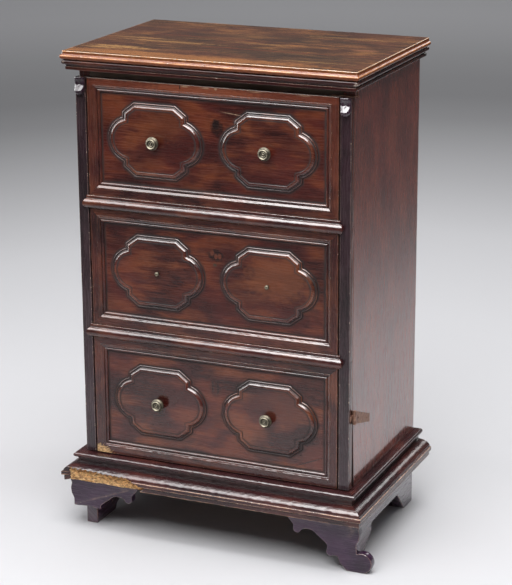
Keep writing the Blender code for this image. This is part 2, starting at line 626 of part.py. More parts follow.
for level, (low, high) in DRAWERS.items():
    for side, sign in (("left", -1), ("right", 1)):
        name = "cartouche_" + level + "_" + side
        stations = mitred_stations(cartouche_outline, (sign * CARTOUCHE_PLACE, (low + high) / 2))
        panel = add_piece(name, raised_mesh(name, stations, edge_profile), "door", "walnut")
        hole = rod_mesh("knob_hole", (sign * KNOB_PLACE, CARTOUCHE_FACE, (low + high) / 2),
                        SHANK_RADIUS + PIN_PLAY, 4 * CARTOUCHE_RISE, "Y")
        shape_with(panel, "hole", hole, "DIFFERENCE", "door")

# Dividers: a fillet over a half-round, returned at both ends over the stiles, on a plain core
divider_wall = FRONT - SEAT
divider_end = STILE_INNER + DIVIDER_LAP - DIVIDER_RISE
divider_bead = (DIVIDER_HEIGHT - DIVIDER_FILLET) / 2
divider_profile = [(0.0, 0.0), (0.001, 0.0)]
divider_profile += arc((0.001, divider_bead), (DIVIDER_RISE - 0.001, divider_bead - 0.0005), -80, 70, 9)
divider_profile += [(0.0022, DIVIDER_HEIGHT - DIVIDER_FILLET + 0.0006),
                    (0.0030, DIVIDER_HEIGHT - 0.003), (0.0026, DIVIDER_HEIGHT - 0.0006),
                    (0.0018, DIVIDER_HEIGHT), (0.0, DIVIDER_HEIGHT)]
for level, foot in (("lower", LOWER_DIVIDER), ("upper", UPPER_DIVIDER)):
    name = "divider_" + level
    ends = []
    for sign, forward in ((-1, 0), (-1, 1), (1, 1), (1, 0)):
        ends.append(lambda out, up, sign=sign, forward=forward, foot=foot: (
            sign * (divider_end + out), divider_wall - forward * out, foot + up))
    divider = add_piece(name, carried_mesh(name, ends, divider_profile), "door", "walnut")
    core_end = STILE_INNER - SEAT
    core = box_mesh(name + "_core", (-core_end, divider_wall - 0.0008, foot),
                    (core_end, FACING_BACK, foot + DIVIDER_HEIGHT))
    shape_with(divider, "core", core, "UNION", "door")

# Consoles: a side profile as (rise from the stile, height), trimmed to a pointed tongue
console_foot = DOOR_TOP - CONSOLE_HEIGHT
console_side = [(0.0, CONSOLE_HEIGHT), (0.0055, CONSOLE_HEIGHT), (0.0062, CONSOLE_HEIGHT - 0.0015),
                (0.0060, CONSOLE_HEIGHT - 0.004), (0.0040, CONSOLE_HEIGHT - 0.007),
                (0.0034, CONSOLE_HEIGHT - 0.0105), (0.0045, CONSOLE_HEIGHT - 0.0135)]
console_side += arc((0.0035, 0.0100), (CONSOLE_RISE - 0.0035, 0.0085), 60, -60, 8)
console_side += [(0.0045, 0.0010), (0.0030, 0.0), (0.0, 0.0)]
console_side = [(FRONT - SEAT - rise, console_foot + up) for rise, up in console_side]
console_width = STILE_WIDTH - SEAT
for side, sign in (("left", -1), ("right", 1)):
    name = "corbel_" + side
    middle = sign * (STILE_INNER + STILE_WIDTH / 2)
    mesh = board_mesh(name, console_side, SIDE_PLANE,
                      middle - console_width / 2, middle + console_width / 2)
    console = add_piece(name, mesh, "door", "walnut_dark")
    tongue = [(middle - console_width, DOOR_TOP + 0.005),
              (middle - console_width, console_foot + 0.018)]
    tongue += [(middle + across, console_foot + up) for across, up in
               arc((0.0, 0.0115), (console_width / 2 - 0.0002, 0.0112), 180, 360, 12)]
    tongue += [(middle + console_width, console_foot + 0.018),
               (middle + console_width, DOOR_TOP + 0.005)]
    tongue_mesh = board_mesh(name + "_tongue", tongue, FRONT_PLANE, FRONT - 0.03, FRONT + 0.03)
    shape_with(console, "tongue", tongue_mesh, "INTERSECT", "door")

# Knobs, drawn as (radius, reach in front of the flat): a dished disc on a wider bun and a neck
knob_profile = [(0.0, KNOB_REACH - 0.0010), (0.0014, KNOB_REACH - 0.0012), (0.0022, KNOB_REACH - 0.0026),
                (KNOB_RIM - 0.0024, KNOB_REACH - 0.0022), (KNOB_RIM - 0.0010, KNOB_REACH - 0.0004),
                (KNOB_RIM, KNOB_REACH), (KNOB_RIM + 0.0008, KNOB_REACH - 0.0012),
                (KNOB_RIM + 0.0010, KNOB_REACH - 0.0034), (KNOB_RADIUS - 0.0010, KNOB_REACH - 0.0052),
                (KNOB_RADIUS, KNOB_REACH - 0.0068), (KNOB_RADIUS - 0.0004, KNOB_REACH - 0.0086),
                (KNOB_RADIUS - 0.0022, KNOB_REACH - 0.0106), (0.0058, KNOB_REACH - 0.0126),
                (0.0045, KNOB_REACH - 0.0136), (0.0045, 0.0038), (KNOB_COLLAR - 0.0004, 0.0032),
                (KNOB_COLLAR, 0.0022), (KNOB_COLLAR, SEAT), (SHANK_RADIUS, SEAT),
                (SHANK_RADIUS, -SHANK_DEPTH), (0.0, -SHANK_DEPTH)]
stub_profile = [(0.0, STUB_REACH - 0.0006), (STUB_RADIUS - 0.0014, STUB_REACH - 0.0004),
                (STUB_RADIUS - 0.0008, STUB_REACH), (STUB_RADIUS, STUB_REACH - 0.0012),
                (STUB_RADIUS, SEAT), (SHANK_RADIUS, SEAT), (SHANK_RADIUS, -SHANK_DEPTH),
                (0.0, -SHANK_DEPTH)]
for side, sign in (("left", -1), ("right", 1)):
    for level in ("top", "bottom"):
        turned_piece("knob_" + level + "_" + side, knob_profile,
                     (sign * KNOB_PLACE, CARTOUCHE_FACE, sum(DRAWERS[level]) / 2), "door", "brass")
    turned_piece("knob_stub_" + side, stub_profile,
                 (sign * KNOB_PLACE, CARTOUCHE_FACE, sum(DRAWERS["middle"]) / 2), "door", "brass")

# Lower hinge: strap with two knuckles on the side board, leaf with one knuckle on the door's edge
knuckle = HINGE_HEIGHT / 3
strap_near = HALF + SEAT
strap_outline = [(0.0, HINGE_Z - HINGE_HEIGHT / 2),
                 (STRAP_LENGTH, HINGE_Z - STRAP_DROP - STRAP_TIP / 2),
                 (STRAP_LENGTH, HINGE_Z - STRAP_DROP + STRAP_TIP / 2),
                 (0.0, HINGE_Z + HINGE_HEIGHT / 2)]
strap = add_piece("hinge_strap", board_mesh("hinge_strap", strap_outline, SIDE_PLANE, strap_near,
                                            strap_near + STRAP_THICK), "carcass", "iron")
notch = box_mesh("knuckle_notch",
                 (HALF - 0.005, -0.005, HINGE_Z - knuckle / 2 - SEAT),
                 (HINGE_X + 0.005, KNUCKLE_RADIUS + SEAT, HINGE_Z + knuckle / 2 + SEAT))
shape_with(strap, "notch", notch, "DIFFERENCE", "carcass")
for label, sign in (("lower", -1), ("upper", 1)):
    barrel = rod_mesh("strap_knuckle", (HINGE_X, 0.0, HINGE_Z + sign * (knuckle + SEAT / 2)),
                      KNUCKLE_RADIUS, knuckle - SEAT, "Z", ROUND_STEPS)
    shape_with(strap, "knuckle_" + label, barrel, "UNION", "carcass")
bore = rod_mesh("strap_bore", (HINGE_X, 0.0, HINGE_Z), PIN_RADIUS + PIN_PLAY,
                2 * HINGE_HEIGHT, "Z")
shape_with(strap, "bore", bore, "DIFFERENCE", "carcass")
leaf = box("hinge_leaf", (HALF + SEAT, -LEAF_LENGTH, HINGE_Z - knuckle / 2),
           (HALF + SEAT + LEAF_THICK, -0.0002, HINGE_Z + knuckle / 2), "door", "iron")
barrel = rod_mesh("leaf_knuckle", (HINGE_X, 0.0, HINGE_Z), KNUCKLE_RADIUS, knuckle, "Z", ROUND_STEPS)
shape_with(leaf, "knuckle", barrel, "UNION", "door")
bore = rod_mesh("leaf_bore", (HINGE_X, 0.0, HINGE_Z), PIN_RADIUS + PIN_PLAY,
                2 * HINGE_HEIGHT, "Z")
shape_with(leaf, "bore", bore, "DIFFERENCE", "door")
add_piece("hinge_pin", rod_mesh("hinge_pin", (HINGE_X, 0.0, HINGE_Z), PIN_RADIUS, HINGE_HEIGHT, "Z"),
          "carcass", "iron")

# Nails through the strap into the side board
for label, along in NAILS.items():
    height = HINGE_Z - nail_drop * along
    strap_face = strap_near + STRAP_THICK
    for piece, cut in ((strap, "strap_hole_"), (side_right, "board_hole_")):
        hole = rod_mesh("nail_hole", (strap_face, along, height), NAIL_SHANK + PIN_PLAY,
                        2 * NAIL_LENGTH, "X")
        shape_with(piece, cut + label, hole, "DIFFERENCE", "carcass")
    nail_profile = [(0.0, 0.0013), (0.0012, 0.0011), (NAIL_HEAD - 0.0003, 0.0006),
                    (NAIL_HEAD, SEAT), (NAIL_SHANK, SEAT), (NAIL_SHANK, -NAIL_LENGTH + 0.002),
                    (0.0, -NAIL_LENGTH + SEAT)]
    nail = turned_piece("hinge_nail_" + label, nail_profile, (strap_face, along, height),
                        "carcass", "iron")
    nail.rotation_euler = (0.0, math.pi / 2, 0.0)
    nail.modifiers["turn"].steps = SMALL_STEPS
    nail.modifiers["turn"].render_steps = SMALL_STEPS

# Upper pivot: a plate with an eye on the door's top edge, on a pin that hangs from the cornice
pivot_foot = DOOR_TOP + SEAT
pivot_plate = box("pivot_plate", (HALF - PIVOT_LENGTH, PLANK_BACK - PIVOT_WIDTH, pivot_foot),
                  (HINGE_X, PLANK_BACK, pivot_foot + PIVOT_THICK), "door", "iron")
eye = rod_mesh("pivot_eye", (HINGE_X, 0.0, pivot_foot + PIVOT_THICK / 2), KNUCKLE_RADIUS,
               PIVOT_THICK, "Z", ROUND_STEPS)
shape_with(pivot_plate, "eye", eye, "UNION", "door")
bore = rod_mesh("pivot_bore", (HINGE_X, 0.0, pivot_foot), PIN_RADIUS + PIN_PLAY, 0.02, "Z")
shape_with(pivot_plate, "bore", bore, "DIFFERENCE", "door")
pivot_low = DOOR_TOP - 0.002
pivot_high = CORNICE_BOTTOM + PIVOT_ENTRY
add_piece("pivot_pin", rod_mesh("pivot_pin", (HINGE_X, 0.0, (pivot_low + pivot_high) / 2), PIN_RADIUS,
                                pivot_high - pivot_low, "Z"), "carcass", "iron")
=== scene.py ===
# %% [markdown]
# # An old walnut side cabinet
#
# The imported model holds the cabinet's solids: a carcass on bracket feet, and one door that is
# dressed as three drawers. Here each visible board and moulding is drawn again as a surface with
# eased edges, and gets a finish of old polished walnut, brass or iron. The solids stay where they
# are and say where every new surface goes, so nothing has to be fitted by eye.

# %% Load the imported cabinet
import json
from collections import namedtuple

import bpy
import numpy as np
from mathutils import Matrix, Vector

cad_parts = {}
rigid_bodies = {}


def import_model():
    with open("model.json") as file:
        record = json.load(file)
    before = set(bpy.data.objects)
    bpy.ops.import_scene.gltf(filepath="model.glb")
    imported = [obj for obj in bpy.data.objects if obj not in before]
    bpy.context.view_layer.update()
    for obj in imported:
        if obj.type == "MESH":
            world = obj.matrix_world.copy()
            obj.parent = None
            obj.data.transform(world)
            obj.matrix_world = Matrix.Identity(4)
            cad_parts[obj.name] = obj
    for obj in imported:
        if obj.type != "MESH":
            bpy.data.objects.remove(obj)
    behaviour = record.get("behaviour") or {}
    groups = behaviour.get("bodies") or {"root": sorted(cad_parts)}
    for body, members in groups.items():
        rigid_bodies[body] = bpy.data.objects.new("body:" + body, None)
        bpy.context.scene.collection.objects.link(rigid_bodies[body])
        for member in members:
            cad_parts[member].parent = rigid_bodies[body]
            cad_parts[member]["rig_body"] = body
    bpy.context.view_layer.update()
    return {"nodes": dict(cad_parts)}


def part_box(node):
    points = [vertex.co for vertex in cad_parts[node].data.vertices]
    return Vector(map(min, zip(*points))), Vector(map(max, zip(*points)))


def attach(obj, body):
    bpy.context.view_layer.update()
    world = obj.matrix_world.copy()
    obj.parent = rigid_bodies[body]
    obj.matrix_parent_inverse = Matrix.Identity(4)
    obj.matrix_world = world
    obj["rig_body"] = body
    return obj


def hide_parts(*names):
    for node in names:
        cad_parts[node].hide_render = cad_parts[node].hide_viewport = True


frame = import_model()

# %% The cabinet's main planes
MM = 0.001
SEAT = 0.3 * MM
MITRE = SEAT / np.sqrt(2.0)
SIDES = {"left": -1, "right": 1}
LEVELS = ("top", "middle", "bottom")
MIDDLE = (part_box("side_left")[0].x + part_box("side_right")[1].x) / 2
HALF = (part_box("side_right")[1].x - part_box("side_left")[0].x) / 2
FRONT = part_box("door_stile_left")[0].y
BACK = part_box("side_left")[1].y
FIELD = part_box("door_plank_top")[0].y
SEATED = FIELD - SEAT
print("half width", round(HALF, 4), "front", round(FRONT, 4), "back", round(BACK, 4))

# %% [markdown]
# ## Profiles
#
# A moulding plane cuts one section along a whole length of wood. The section is drawn as a closed
# outline in millimetres, and its sharp corners are eased, because three centuries of dusting leave
# no corner sharp. Each point also keeps its bend: 1 on an outward corner, where polish wears
# through, and -1 in an inward one, where wax and dirt stay.

# %% Draw a section
def arc(centre, radii, start, end, steps):
    """Elliptic arc: centre + (rx cos a, ry sin a), with a from start to end in degrees."""
    angle = np.radians(np.linspace(start, end, steps + 1))
    return np.asarray(centre) + np.stack([np.cos(angle), np.sin(angle)], 1) * np.asarray(radii)


def unit(vectors):
    """The same vectors with length one."""
    return vectors / np.linalg.norm(vectors, axis=1)[:, None]


def twice_area(outline):
    """Twice the area of a closed outline, positive where it runs anticlockwise."""
    (x, y), (next_x, next_y) = outline.T, np.roll(outline, -1, 0).T
    return np.sum(x * next_y - next_x * y)


def eased(corners, radii, steps=4):
    """Round the corners of a closed outline; gives its points and their bend.

    At a corner V the curve is (1-t)^2 A + 2t(1-t) V + t^2 B, with A and B on the two edges at
    the corner's radius. A corner of radius 0 stays a single point, and one that turns by 0.9
    radians or more has a bend of 1.
    """
    corners = np.asarray(corners, float)
    radii = np.broadcast_to(np.asarray(radii, float), len(corners))
    back, ahead = np.roll(corners, 1, 0) - corners, np.roll(corners, -1, 0) - corners
    room = 0.4 * np.minimum(np.linalg.norm(back, axis=1), np.linalg.norm(ahead, axis=1))
    back, ahead = unit(back), unit(ahead)
    turn = np.arctan2(ahead[:, 0] * back[:, 1] - ahead[:, 1] * back[:, 0],
                      -np.sum(ahead * back, axis=1)) * np.sign(twice_area(corners))
    marks = np.clip(turn / 0.9, -1.0, 1.0)
    cut = np.minimum(radii, room)
    lead = cut + np.minimum(0.7 * MM, 0.2 * room)
    t = np.linspace(0.0, 1.0, steps + 1)[:, None]
    outline, bend = [], []
    for place, corner in enumerate(corners):
        if radii[place] == 0.0:
            outline.append(corner[None])
            bend.append([0.0])
            continue
        near, far = corner + back[place] * cut[place], corner + ahead[place] * cut[place]
        curve = (1 - t) ** 2 * near + 2 * t * (1 - t) * corner + t ** 2 * far
        outline.append(np.vstack([corner + back[place] * lead[place], curve,
                                  corner + ahead[place] * lead[place]]))
        bend.append([0.0] + [marks[place]] * (steps + 1) + [0.0])
    return np.vstack(outline), np.concatenate(bend)


def filled(outline, bend, longest):
    """Add points on the straights of a closed outline, so that no step is longer than asked."""
    ring, marks = np.vstack([outline, outline[:1]]), np.append(bend, bend[0])
    step = np.linalg.norm(np.diff(ring, axis=0), axis=1)
    count = np.maximum(1, np.ceil(step / longest)).astype(int)
    start = np.repeat(np.arange(len(step)), count)
    share = (np.arange(count.sum()) - np.repeat(np.cumsum(count) - count, count)) / count[start]
    points = ring[start] * (1 - share)[:, None] + ring[start + 1] * share[:, None]
    return points, marks[start] * (1 - share) + marks[start + 1] * share


def section(corners, radii, longest):
    """An eased and filled section, corners and radii in millimetres."""
    return filled(*eased(np.asarray(corners, float) * MM, np.asarray(radii, float) * MM), longest)


def girth(outline):
    """Distance walked round a closed outline at each point, and at last the whole way round."""
    step = np.linalg.norm(np.roll(outline, -1, 0) - outline, axis=1)
    return np.append(0.0, np.cumsum(step))


square = section([(0, 0), (10, 0), (10, 10), (0, 10)], 1, 10 * MM)
print("a square of 10 with corners eased by 1 has", len(square[0]), "points")

# %% [markdown]
# ## Surfaces
#
# One rule makes almost every piece: a closed section is carried through stations along a path, and
# neighbouring points are joined by quads. The points are one array of stations by section points,
# so the whole surface is worked out at once. The grain of the wood is kept as a UV map in metres,
# along and across the piece, because the figure has to follow each rail round its mitres.

# %% Carry a section along a path
Shell = namedtuple("Shell", "points quads grain caps cap_grain bend raw")


def xyz(x, y, z):
    """Points from three coordinates, which are stretched to one shape."""
    return np.stack(np.broadcast_arrays(x, y, z), -1)


def carried(points, along, around, bend):
    """Join points[i, j], section point j at station i, into a surface with a flat face at each end.

    The section closes on itself. along and around give the grain's place in metres.
    """
    stations, count = points.shape[:2]
    row, column = np.divmod(np.arange((stations - 1) * count), count)
    rows = np.stack([row, row + 1, row + 1, row], 1)
    columns = np.stack([column, column, column + 1, column + 1], 1)
    along = np.broadcast_to(along, (stations, count))
    along = np.concatenate([along, along[:, :1]], 1)
    grain = np.stack([along[rows, columns], around[columns]], -1)
    ring = np.arange(count)
    ends = ((0, ring), (stations - 1, ring[::-1]))
    caps = [station * count + order for station, order in ends]
    cap_grain = [np.stack([along[station, order], around[order]], 1) for station, order in ends]
    marks = np.broadcast_to(bend, (stations, count)).ravel()
    return Shell(points.reshape(-1, 3), rows * count + columns % count, grain, caps, cap_grain,
                 marks, np.zeros(len(marks)))


def grained(shell, axis):
    """The same shell with its grain laid straight along one axis, across by the other two."""
    across = shell.points.sum(1) - shell.points[:, axis]
    place = np.stack([shell.points[:, axis], across], 1)
    return shell._replace(grain=place[shell.quads], cap_grain=[place[cap] for cap in shell.caps])


def outward(shell):
    """The same shell with its faces outward: then the sum of a . (b x c) over them is positive."""
    fans = [np.stack([np.full(len(cap) - 2, cap[0]), cap[1:-1], cap[2:]], 1) for cap in shell.caps]
    triangles = np.concatenate([shell.quads[:, :3], shell.quads[:, [0, 2, 3]], *fans])
    a, b, c = np.moveaxis(shell.points[triangles], 1, 0)
    if np.sum(a * np.cross(b, c)) > 0:
        return shell
    return shell._replace(quads=shell.quads[:, ::-1], grain=shell.grain[:, ::-1],
                          caps=[cap[::-1] for cap in shell.caps],
                          cap_grain=[place[::-1] for place in shell.cap_grain])


def hand_worked(points, depth, length):
    """Waviness left by planes and use: a sum of sine waves through space, about one length long."""
    rng = np.random.default_rng(17)
    count = 24
    waves = rng.normal(size=(count, 3)) * 2 * np.pi / length
    shift = rng.uniform(0, 2 * np.pi, count)
    push = rng.normal(size=(count, 3)) / np.sqrt(count)
    return points + depth * np.sin(points @ waves.T + shift) @ push


# %% Put shells into a piece
PIECES = {}
WAVE_LENGTH, NICK_LENGTH = 85 * MM, 13 * MM


def make_piece(node, shells, finish, sharp=42.0, waviness=0.08 * MM, nicks=0.0,
               inside=None):
    """One mesh of shells that stands for a solid, rides on its body and keeps inside its box.

    inside is (finish, (axis, sign), ...): faces that look one of these ways were never polished.
    """
    shells = [outward(shell) for shell in shells]
    start = np.cumsum([0] + [len(shell.points) for shell in shells])
    points = np.concatenate([shell.points for shell in shells])
    points = hand_worked(hand_worked(points, waviness, WAVE_LENGTH), nicks, NICK_LENGTH)
    low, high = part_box(node)
    points = np.clip(points, low, high)
    faces, grain = [], []
    for shell, first in zip(shells, start):
        faces += (shell.quads + first).tolist() + [(cap + first).tolist() for cap in shell.caps]
        grain += [shell.grain.reshape(-1, 2), *shell.cap_grain]
    mesh = bpy.data.meshes.new(node + "_piece")
    mesh.from_pydata(points, [], faces)
    offset = np.array([1.37, 0.73]) * (len(PIECES) + 1)
    layer = mesh.uv_layers.new(name="grain")
    layer.data.foreach_set("uv", (np.concatenate(grain) + offset).ravel())
    for mark in ("bend", "raw"):
        values = np.concatenate([getattr(shell, mark) for shell in shells])
        mesh.attributes.new(mark, "FLOAT", "POINT").data.foreach_set("value", values)
    mesh.shade_smooth()
    mesh.set_sharp_from_angle(angle=np.radians(sharp))
    mesh.materials.append(finish)
    if inside:
        bare, *ways = inside
        mesh.materials.append(bare)
        normals = np.empty(3 * len(mesh.polygons))
        mesh.polygons.foreach_get("normal", normals)
        looks = np.max([sign * normals[axis::3] for axis, sign in ways], axis=0)
        mesh.polygons.foreach_set("material_index", (looks > 0.9).astype(int))
    piece = bpy.data.objects.new(node + "_piece", mesh)
    bpy.context.scene.collection.objects.link(piece)
    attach(piece, frame["nodes"][node]["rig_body"])
    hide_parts(node)
    PIECES[node] = piece


def say(*starts):
    """Print how many faces the pieces have whose names start so."""
    faces = [len(piece.data.polygons) for node, piece in PIECES.items() if node.startswith(starts)]
    print(*starts, "in", len(faces), "pieces with", sum(faces), "faces")


# %% [markdown]
# ## Node helpers
#
# A finish is a small network of nodes. What comes out of a node is held as a wire, and wires can be
# added, multiplied and blended as if they were numbers, so that a finish reads like a formula.

# %% Helpers for shader nodes
def fill(tree, socket, value):
    """Give a socket a wire, a number, a vector or a colour of three parts."""
    if isinstance(value, Wire):
        tree.links.new(value.socket, socket)
    else:
        socket.default_value = (*value, 1.0) if socket.type == "RGBA" else value


def add(tree, kind, inputs=None, output=0, **settings):
    """Add a node, fill its sockets and give a wire from one of its outputs."""
    node = tree.nodes.new("ShaderNode" + kind)
    for key, value in settings.items():
        setattr(node, key, value)
    for key, value in (inputs or {}).items():
        fill(tree, node.inputs[key], value)
    return Wire(tree, node.outputs[output])


class Wire:
    """An output of a node; sums, products and blends of wires are new nodes in the same tree."""

    def __init__(self, tree, socket):
        self.tree, self.socket = tree, socket

    def maths(self, operation, first, second):
        """A node for one sum, product or the like."""
        return add(self.tree, "Math", {0: first, 1: second}, operation=operation)

    def __mul__(self, other):
        return self.maths("MULTIPLY", self, other)

    def __add__(self, other):
        return self.maths("ADD", self, other)

    def __sub__(self, other):
        return self.maths("SUBTRACT", self, other)

    def __rsub__(self, other):
        return self.maths("SUBTRACT", other, self)

    def at_least(self, other):
        """The larger of two values."""
        return self.maths("MAXIMUM", self, other)

    def smooth(self, low, high, new_low=0.0, new_high=1.0):
        """Map low..high to new_low..new_high with a smooth start and end."""
        return add(self.tree, "MapRange", {"Value": self, "From Min": low, "From Max": high,
                                           "To Min": new_low, "To Max": new_high},
                   interpolation_type="SMOOTHSTEP")

    def blend(self, first, second):
        """The first colour where this is 0, the second where it is 1."""
        return add(self.tree, "Mix", {0: self, 6: first, 7: second}, 2, data_type="RGBA")

    def noise(self, scale, detail=3.0, roughness=0.55, stretch=(1.0, 1.0, 1.0), distortion=0.0):
        """Noise from 0 to 1 at this place, which is stretched first."""
        place = add(self.tree, "Mapping", {"Vector": self, "Scale": stretch})
        return add(self.tree, "TexNoise", {"Vector": place, "Scale": scale, "Detail": detail,
                                           "Roughness": roughness, "Distortion": distortion}, "Fac")


def new_group(name, inputs, outputs):
    """A node group with named sockets; gives its tree, a wire from each input and its end node."""
    tree = bpy.data.node_groups.new(name, "ShaderNodeTree")
    for label, kind in inputs.items():
        tree.interface.new_socket(label, in_out="INPUT", socket_type="NodeSocket" + kind)
    for label in outputs:
        tree.interface.new_socket(label, in_out="OUTPUT", socket_type="NodeSocketFloat")
    source, end = tree.nodes.new("NodeGroupInput"), tree.nodes.new("NodeGroupOutput")
    return tree, [Wire(tree, source.outputs[label]) for label in inputs], end


def close_group(end, **wires):
    """Lead wires to a group's outputs."""
    for label, wire in wires.items():
        fill(wire.tree, end.inputs[label], wire)


def use_group(tree, group, **inputs):
    """Place a node group in a tree; gives its outputs as wires by name."""
    node = add(tree, "Group", inputs, node_tree=group).socket.node
    return {socket.name: Wire(tree, socket) for socket in node.outputs}


def new_finish(name):
    """A material, its tree and each point's place in the object's own coordinates."""
    material = bpy.data.materials.new(name)
    material.use_nodes = True
    return material, material.node_tree, add(material.node_tree, "TexCoord", None, "Object")


def dress(tree, height=None, strength=1.0, deep=MM, **inputs):
    """Fill the shader's sockets, _ standing for a blank, and bump it by a height."""
    sockets = tree.nodes["Principled BSDF"].inputs
    for label, value in inputs.items():
        fill(tree, sockets[label.replace("_", " ")], value)
    if height:
        bump = add(tree, "Bump", {"Height": height, "Strength": strength, "Distance": deep})
        fill(tree, sockets["Normal"], bump)


def set_ramp(wire, stops):
    """Set a ramp's stops, (place, colour) in rising order; its first two are there already."""
    ramp = wire.socket.node.color_ramp.elements
    for number, (place, colour) in enumerate(stops):
        stop = ramp[number] if number < 2 else ramp.new(1.0)
        stop.position, stop.color = place, (*colour, 1.0)


print("helpers ready")

# %% [markdown]
# ## Wood figure, patina and old marks
#
# Walnut shows several things at once: patches of colour as wide as a hand, bands and fine streaks
# along the grain, and short dark flecks. On top of that an old piece carries patina: polish that is
# worn off the outward edges, dirt that fills the inward ones, chips and dents. The same darkening
# also lays painted shade beside the mouldings and in gaps. Several finishes need
# these, so each is a node group of its own that only puts out masks and values.

# %% Group: walnut figure
FIGURE, (grain,), end = new_group("walnut_figure", {"Vector": "Vector"},
                                  ("Patch", "Band", "Streak", "Fleck", "Height"))
drift = (grain.noise(1.0, 2.0, 0.5, (5.0, 16.0, 1.0)) - 0.5) * 0.016
bent = add(FIGURE, "VectorMath", {0: grain, 1: add(FIGURE, "CombineXYZ", {"Y": drift})},
           operation="ADD")
spread = bent.noise(1.0, 3.0, 0.5, (10.0, 19.0, 1.0), 0.4)
band = bent.noise(1.0, 3.0, 0.6, (8.0, 95.0, 1.0), 0.2)
streak = bent.noise(1.0, 3.0, 0.6, (24.0, 430.0, 1.0))
fleck = bent.noise(1.0, 1.0, 0.5, (95.0, 900.0, 1.0)).smooth(0.58, 0.70)
close_group(end, Patch=spread.smooth(0.3, 0.7), Band=band.smooth(0.3, 0.7),
            Streak=streak.smooth(0.3, 0.7), Fleck=fleck, Height=streak * 0.05 - fleck * 0.03)

# %% Group: patina
PATINA, (place, bend), end = new_group(
    "old_patina", {"Vector": "Vector", "Bend": "Float"},
    ("Worn", "Grime", "Blotch", "Scuff", "Chip", "Dent", "Tint"))
# Grime darkens where the bend is negative: dirt in inward corners, and painted shade where negative
# bends are laid beside mouldings and in gaps.
close_group(end, Worn=(bend * place.noise(46.0, 4.0, 0.65)).smooth(0.30, 0.62),
            Grime=(bend * -1.0).smooth(0.1, 0.85),
            Blotch=place.noise(14.0, 4.0, 0.6).smooth(0.38, 0.68),
            Scuff=place.noise(190.0, 5.0, 0.7).smooth(0.60, 0.78),
            Chip=(bend * place.noise(210.0, 2.0, 0.6)).smooth(0.62, 0.70),
            Dent=place.noise(120.0, 2.0, 0.5),
            Tint=place.noise(8.0, 3.0, 0.55).smooth(0.38, 0.62))

# %% Group: an old mark on the wood
MARK, (place, centre, size, turn, ragged), end = new_group(
    "old_mark", {"Vector": "Vector", "Centre": "Vector", "Size": "Vector", "Turn": "Float",
                 "Ragged": "Float"}, ("Mask",))
reach = add(MARK, "VectorMath", {0: place, 1: centre}, operation="SUBTRACT")
reach = add(MARK, "VectorRotate", {"Vector": reach, "Angle": turn}, rotation_type="Y_AXIS")
reach = add(MARK, "VectorMath", {0: reach, 1: size}, operation="DIVIDE")
reach = add(MARK, "VectorMath", {0: reach}, "Value", operation="LENGTH")
reach = reach + (place.noise(120.0, 3.0) - 0.5) * ragged
close_group(end, Mask=reach.smooth(1.2, 0.6))
print([group.name for group in bpy.data.node_groups])

# %% [markdown]
# ## Walnut finishes
#
# The polish is a clear coat over brown wood, so the shader has a coat of its own: it gives the
# white lights on the mouldings and the grey sheen on the side, while the wood below keeps its
# colour. Where polish is worn, or the wood is broken and raw, the coat goes and the wood is pale.

# %% Walnut
RAW_DARK, RAW_LIGHT = (0.34, 0.165, 0.07), (0.95, 0.62, 0.28)
CHIP_WOOD, DIRT_AND_SHADE = (0.60, 0.46, 0.34), (0.008, 0.005, 0.005)
REDDER = (1.25, 0.85, 1.15)


def walnut(name, dark, middle, light, worn, stops=(0.2, 0.5, 0.8), polish=0.55, wear=0.8,
           dents=0.02, shine=0.4, shares=(0.54, 0.26, 0.20), redness=0.45, pores=1.0, rims=1.0,
           blotches=0.5, marks=()):
    """Old polished walnut in three colours; marks are (centre, size, turn, ragged, colour, depth).

    The colour is a pile of layers, each laid over the last one by a mask times a depth.
    """
    material, tree, place = new_finish(name)
    grain = add(tree, "UVMap", uv_map="grain")
    bend = add(tree, "Attribute", None, "Fac", attribute_name="bend")
    raw = add(tree, "Attribute", None, "Fac", attribute_name="raw")
    figure = use_group(tree, FIGURE, Vector=grain)
    patina = use_group(tree, PATINA, Vector=place, Bend=bend)

    share = figure["Patch"] * shares[0] + figure["Band"] * shares[1] + figure["Streak"] * shares[2]
    colour = add(tree, "ValToRGB", {"Fac": share})
    set_ramp(colour, zip(stops, (dark, middle, light)))
    layers = [(patina["Tint"], redness, np.multiply(middle, REDDER)),
              (patina["Blotch"], blotches, dark)]
    for centre, size, turn, ragged, tint, depth in marks:
        mark = use_group(tree, MARK, Vector=place, Centre=centre, Size=size, Turn=turn, Ragged=ragged)
        layers.append((mark["Mask"], depth, tint))
    layers += [(figure["Fleck"], 0.35, np.multiply(0.3, dark)), (patina["Worn"], wear, worn),
               (patina["Chip"], wear, CHIP_WOOD), (patina["Grime"], 0.85, DIRT_AND_SHADE)]
    for mask, depth, tint in layers:
        colour = (mask * depth).blend(colour, tint)
    splinter = place.noise(1.0, 4.0, 0.65, (170.0, 300.0, 420.0)).smooth(0.36, 0.60)
    colour = raw.blend(colour, splinter.blend(RAW_DARK, RAW_LIGHT))

    rough = figure["Streak"].smooth(0.0, 1.0, 0.20, 0.32)
    rough = rough + patina["Scuff"] * 0.2 + patina["Grime"] * 0.3
    coat = (bend * rims).at_least(polish) * (1.0 - raw)
    coat = coat * (1.0 - patina["Scuff"] * 0.5) * (1.0 - patina["Grime"] * 0.8)
    dress(tree, figure["Height"] * pores + patina["Dent"] * dents, Base_Color=colour,
          Roughness=rough.at_least(raw * 0.85), Coat_Weight=coat, Coat_Roughness=0.07,
          Specular_IOR_Level=shine)
    return material


# %% Marks left on the door, and painted light on its top rail
BLACK, RUST, CHIPPED = (0.010, 0.005, 0.005), (0.16, 0.045, 0.025), (0.52, 0.33, 0.20)


def blot(x, z, half_wide, half_high, tint, depth, ragged=0.7, turn=0.0):
    """One soft-edged spot on the door's front, at x and z, by its half sizes in millimetres."""
    return ((x, FIELD, z), (half_wide * MM, 1.0, half_high * MM), turn, ragged, tint, depth)


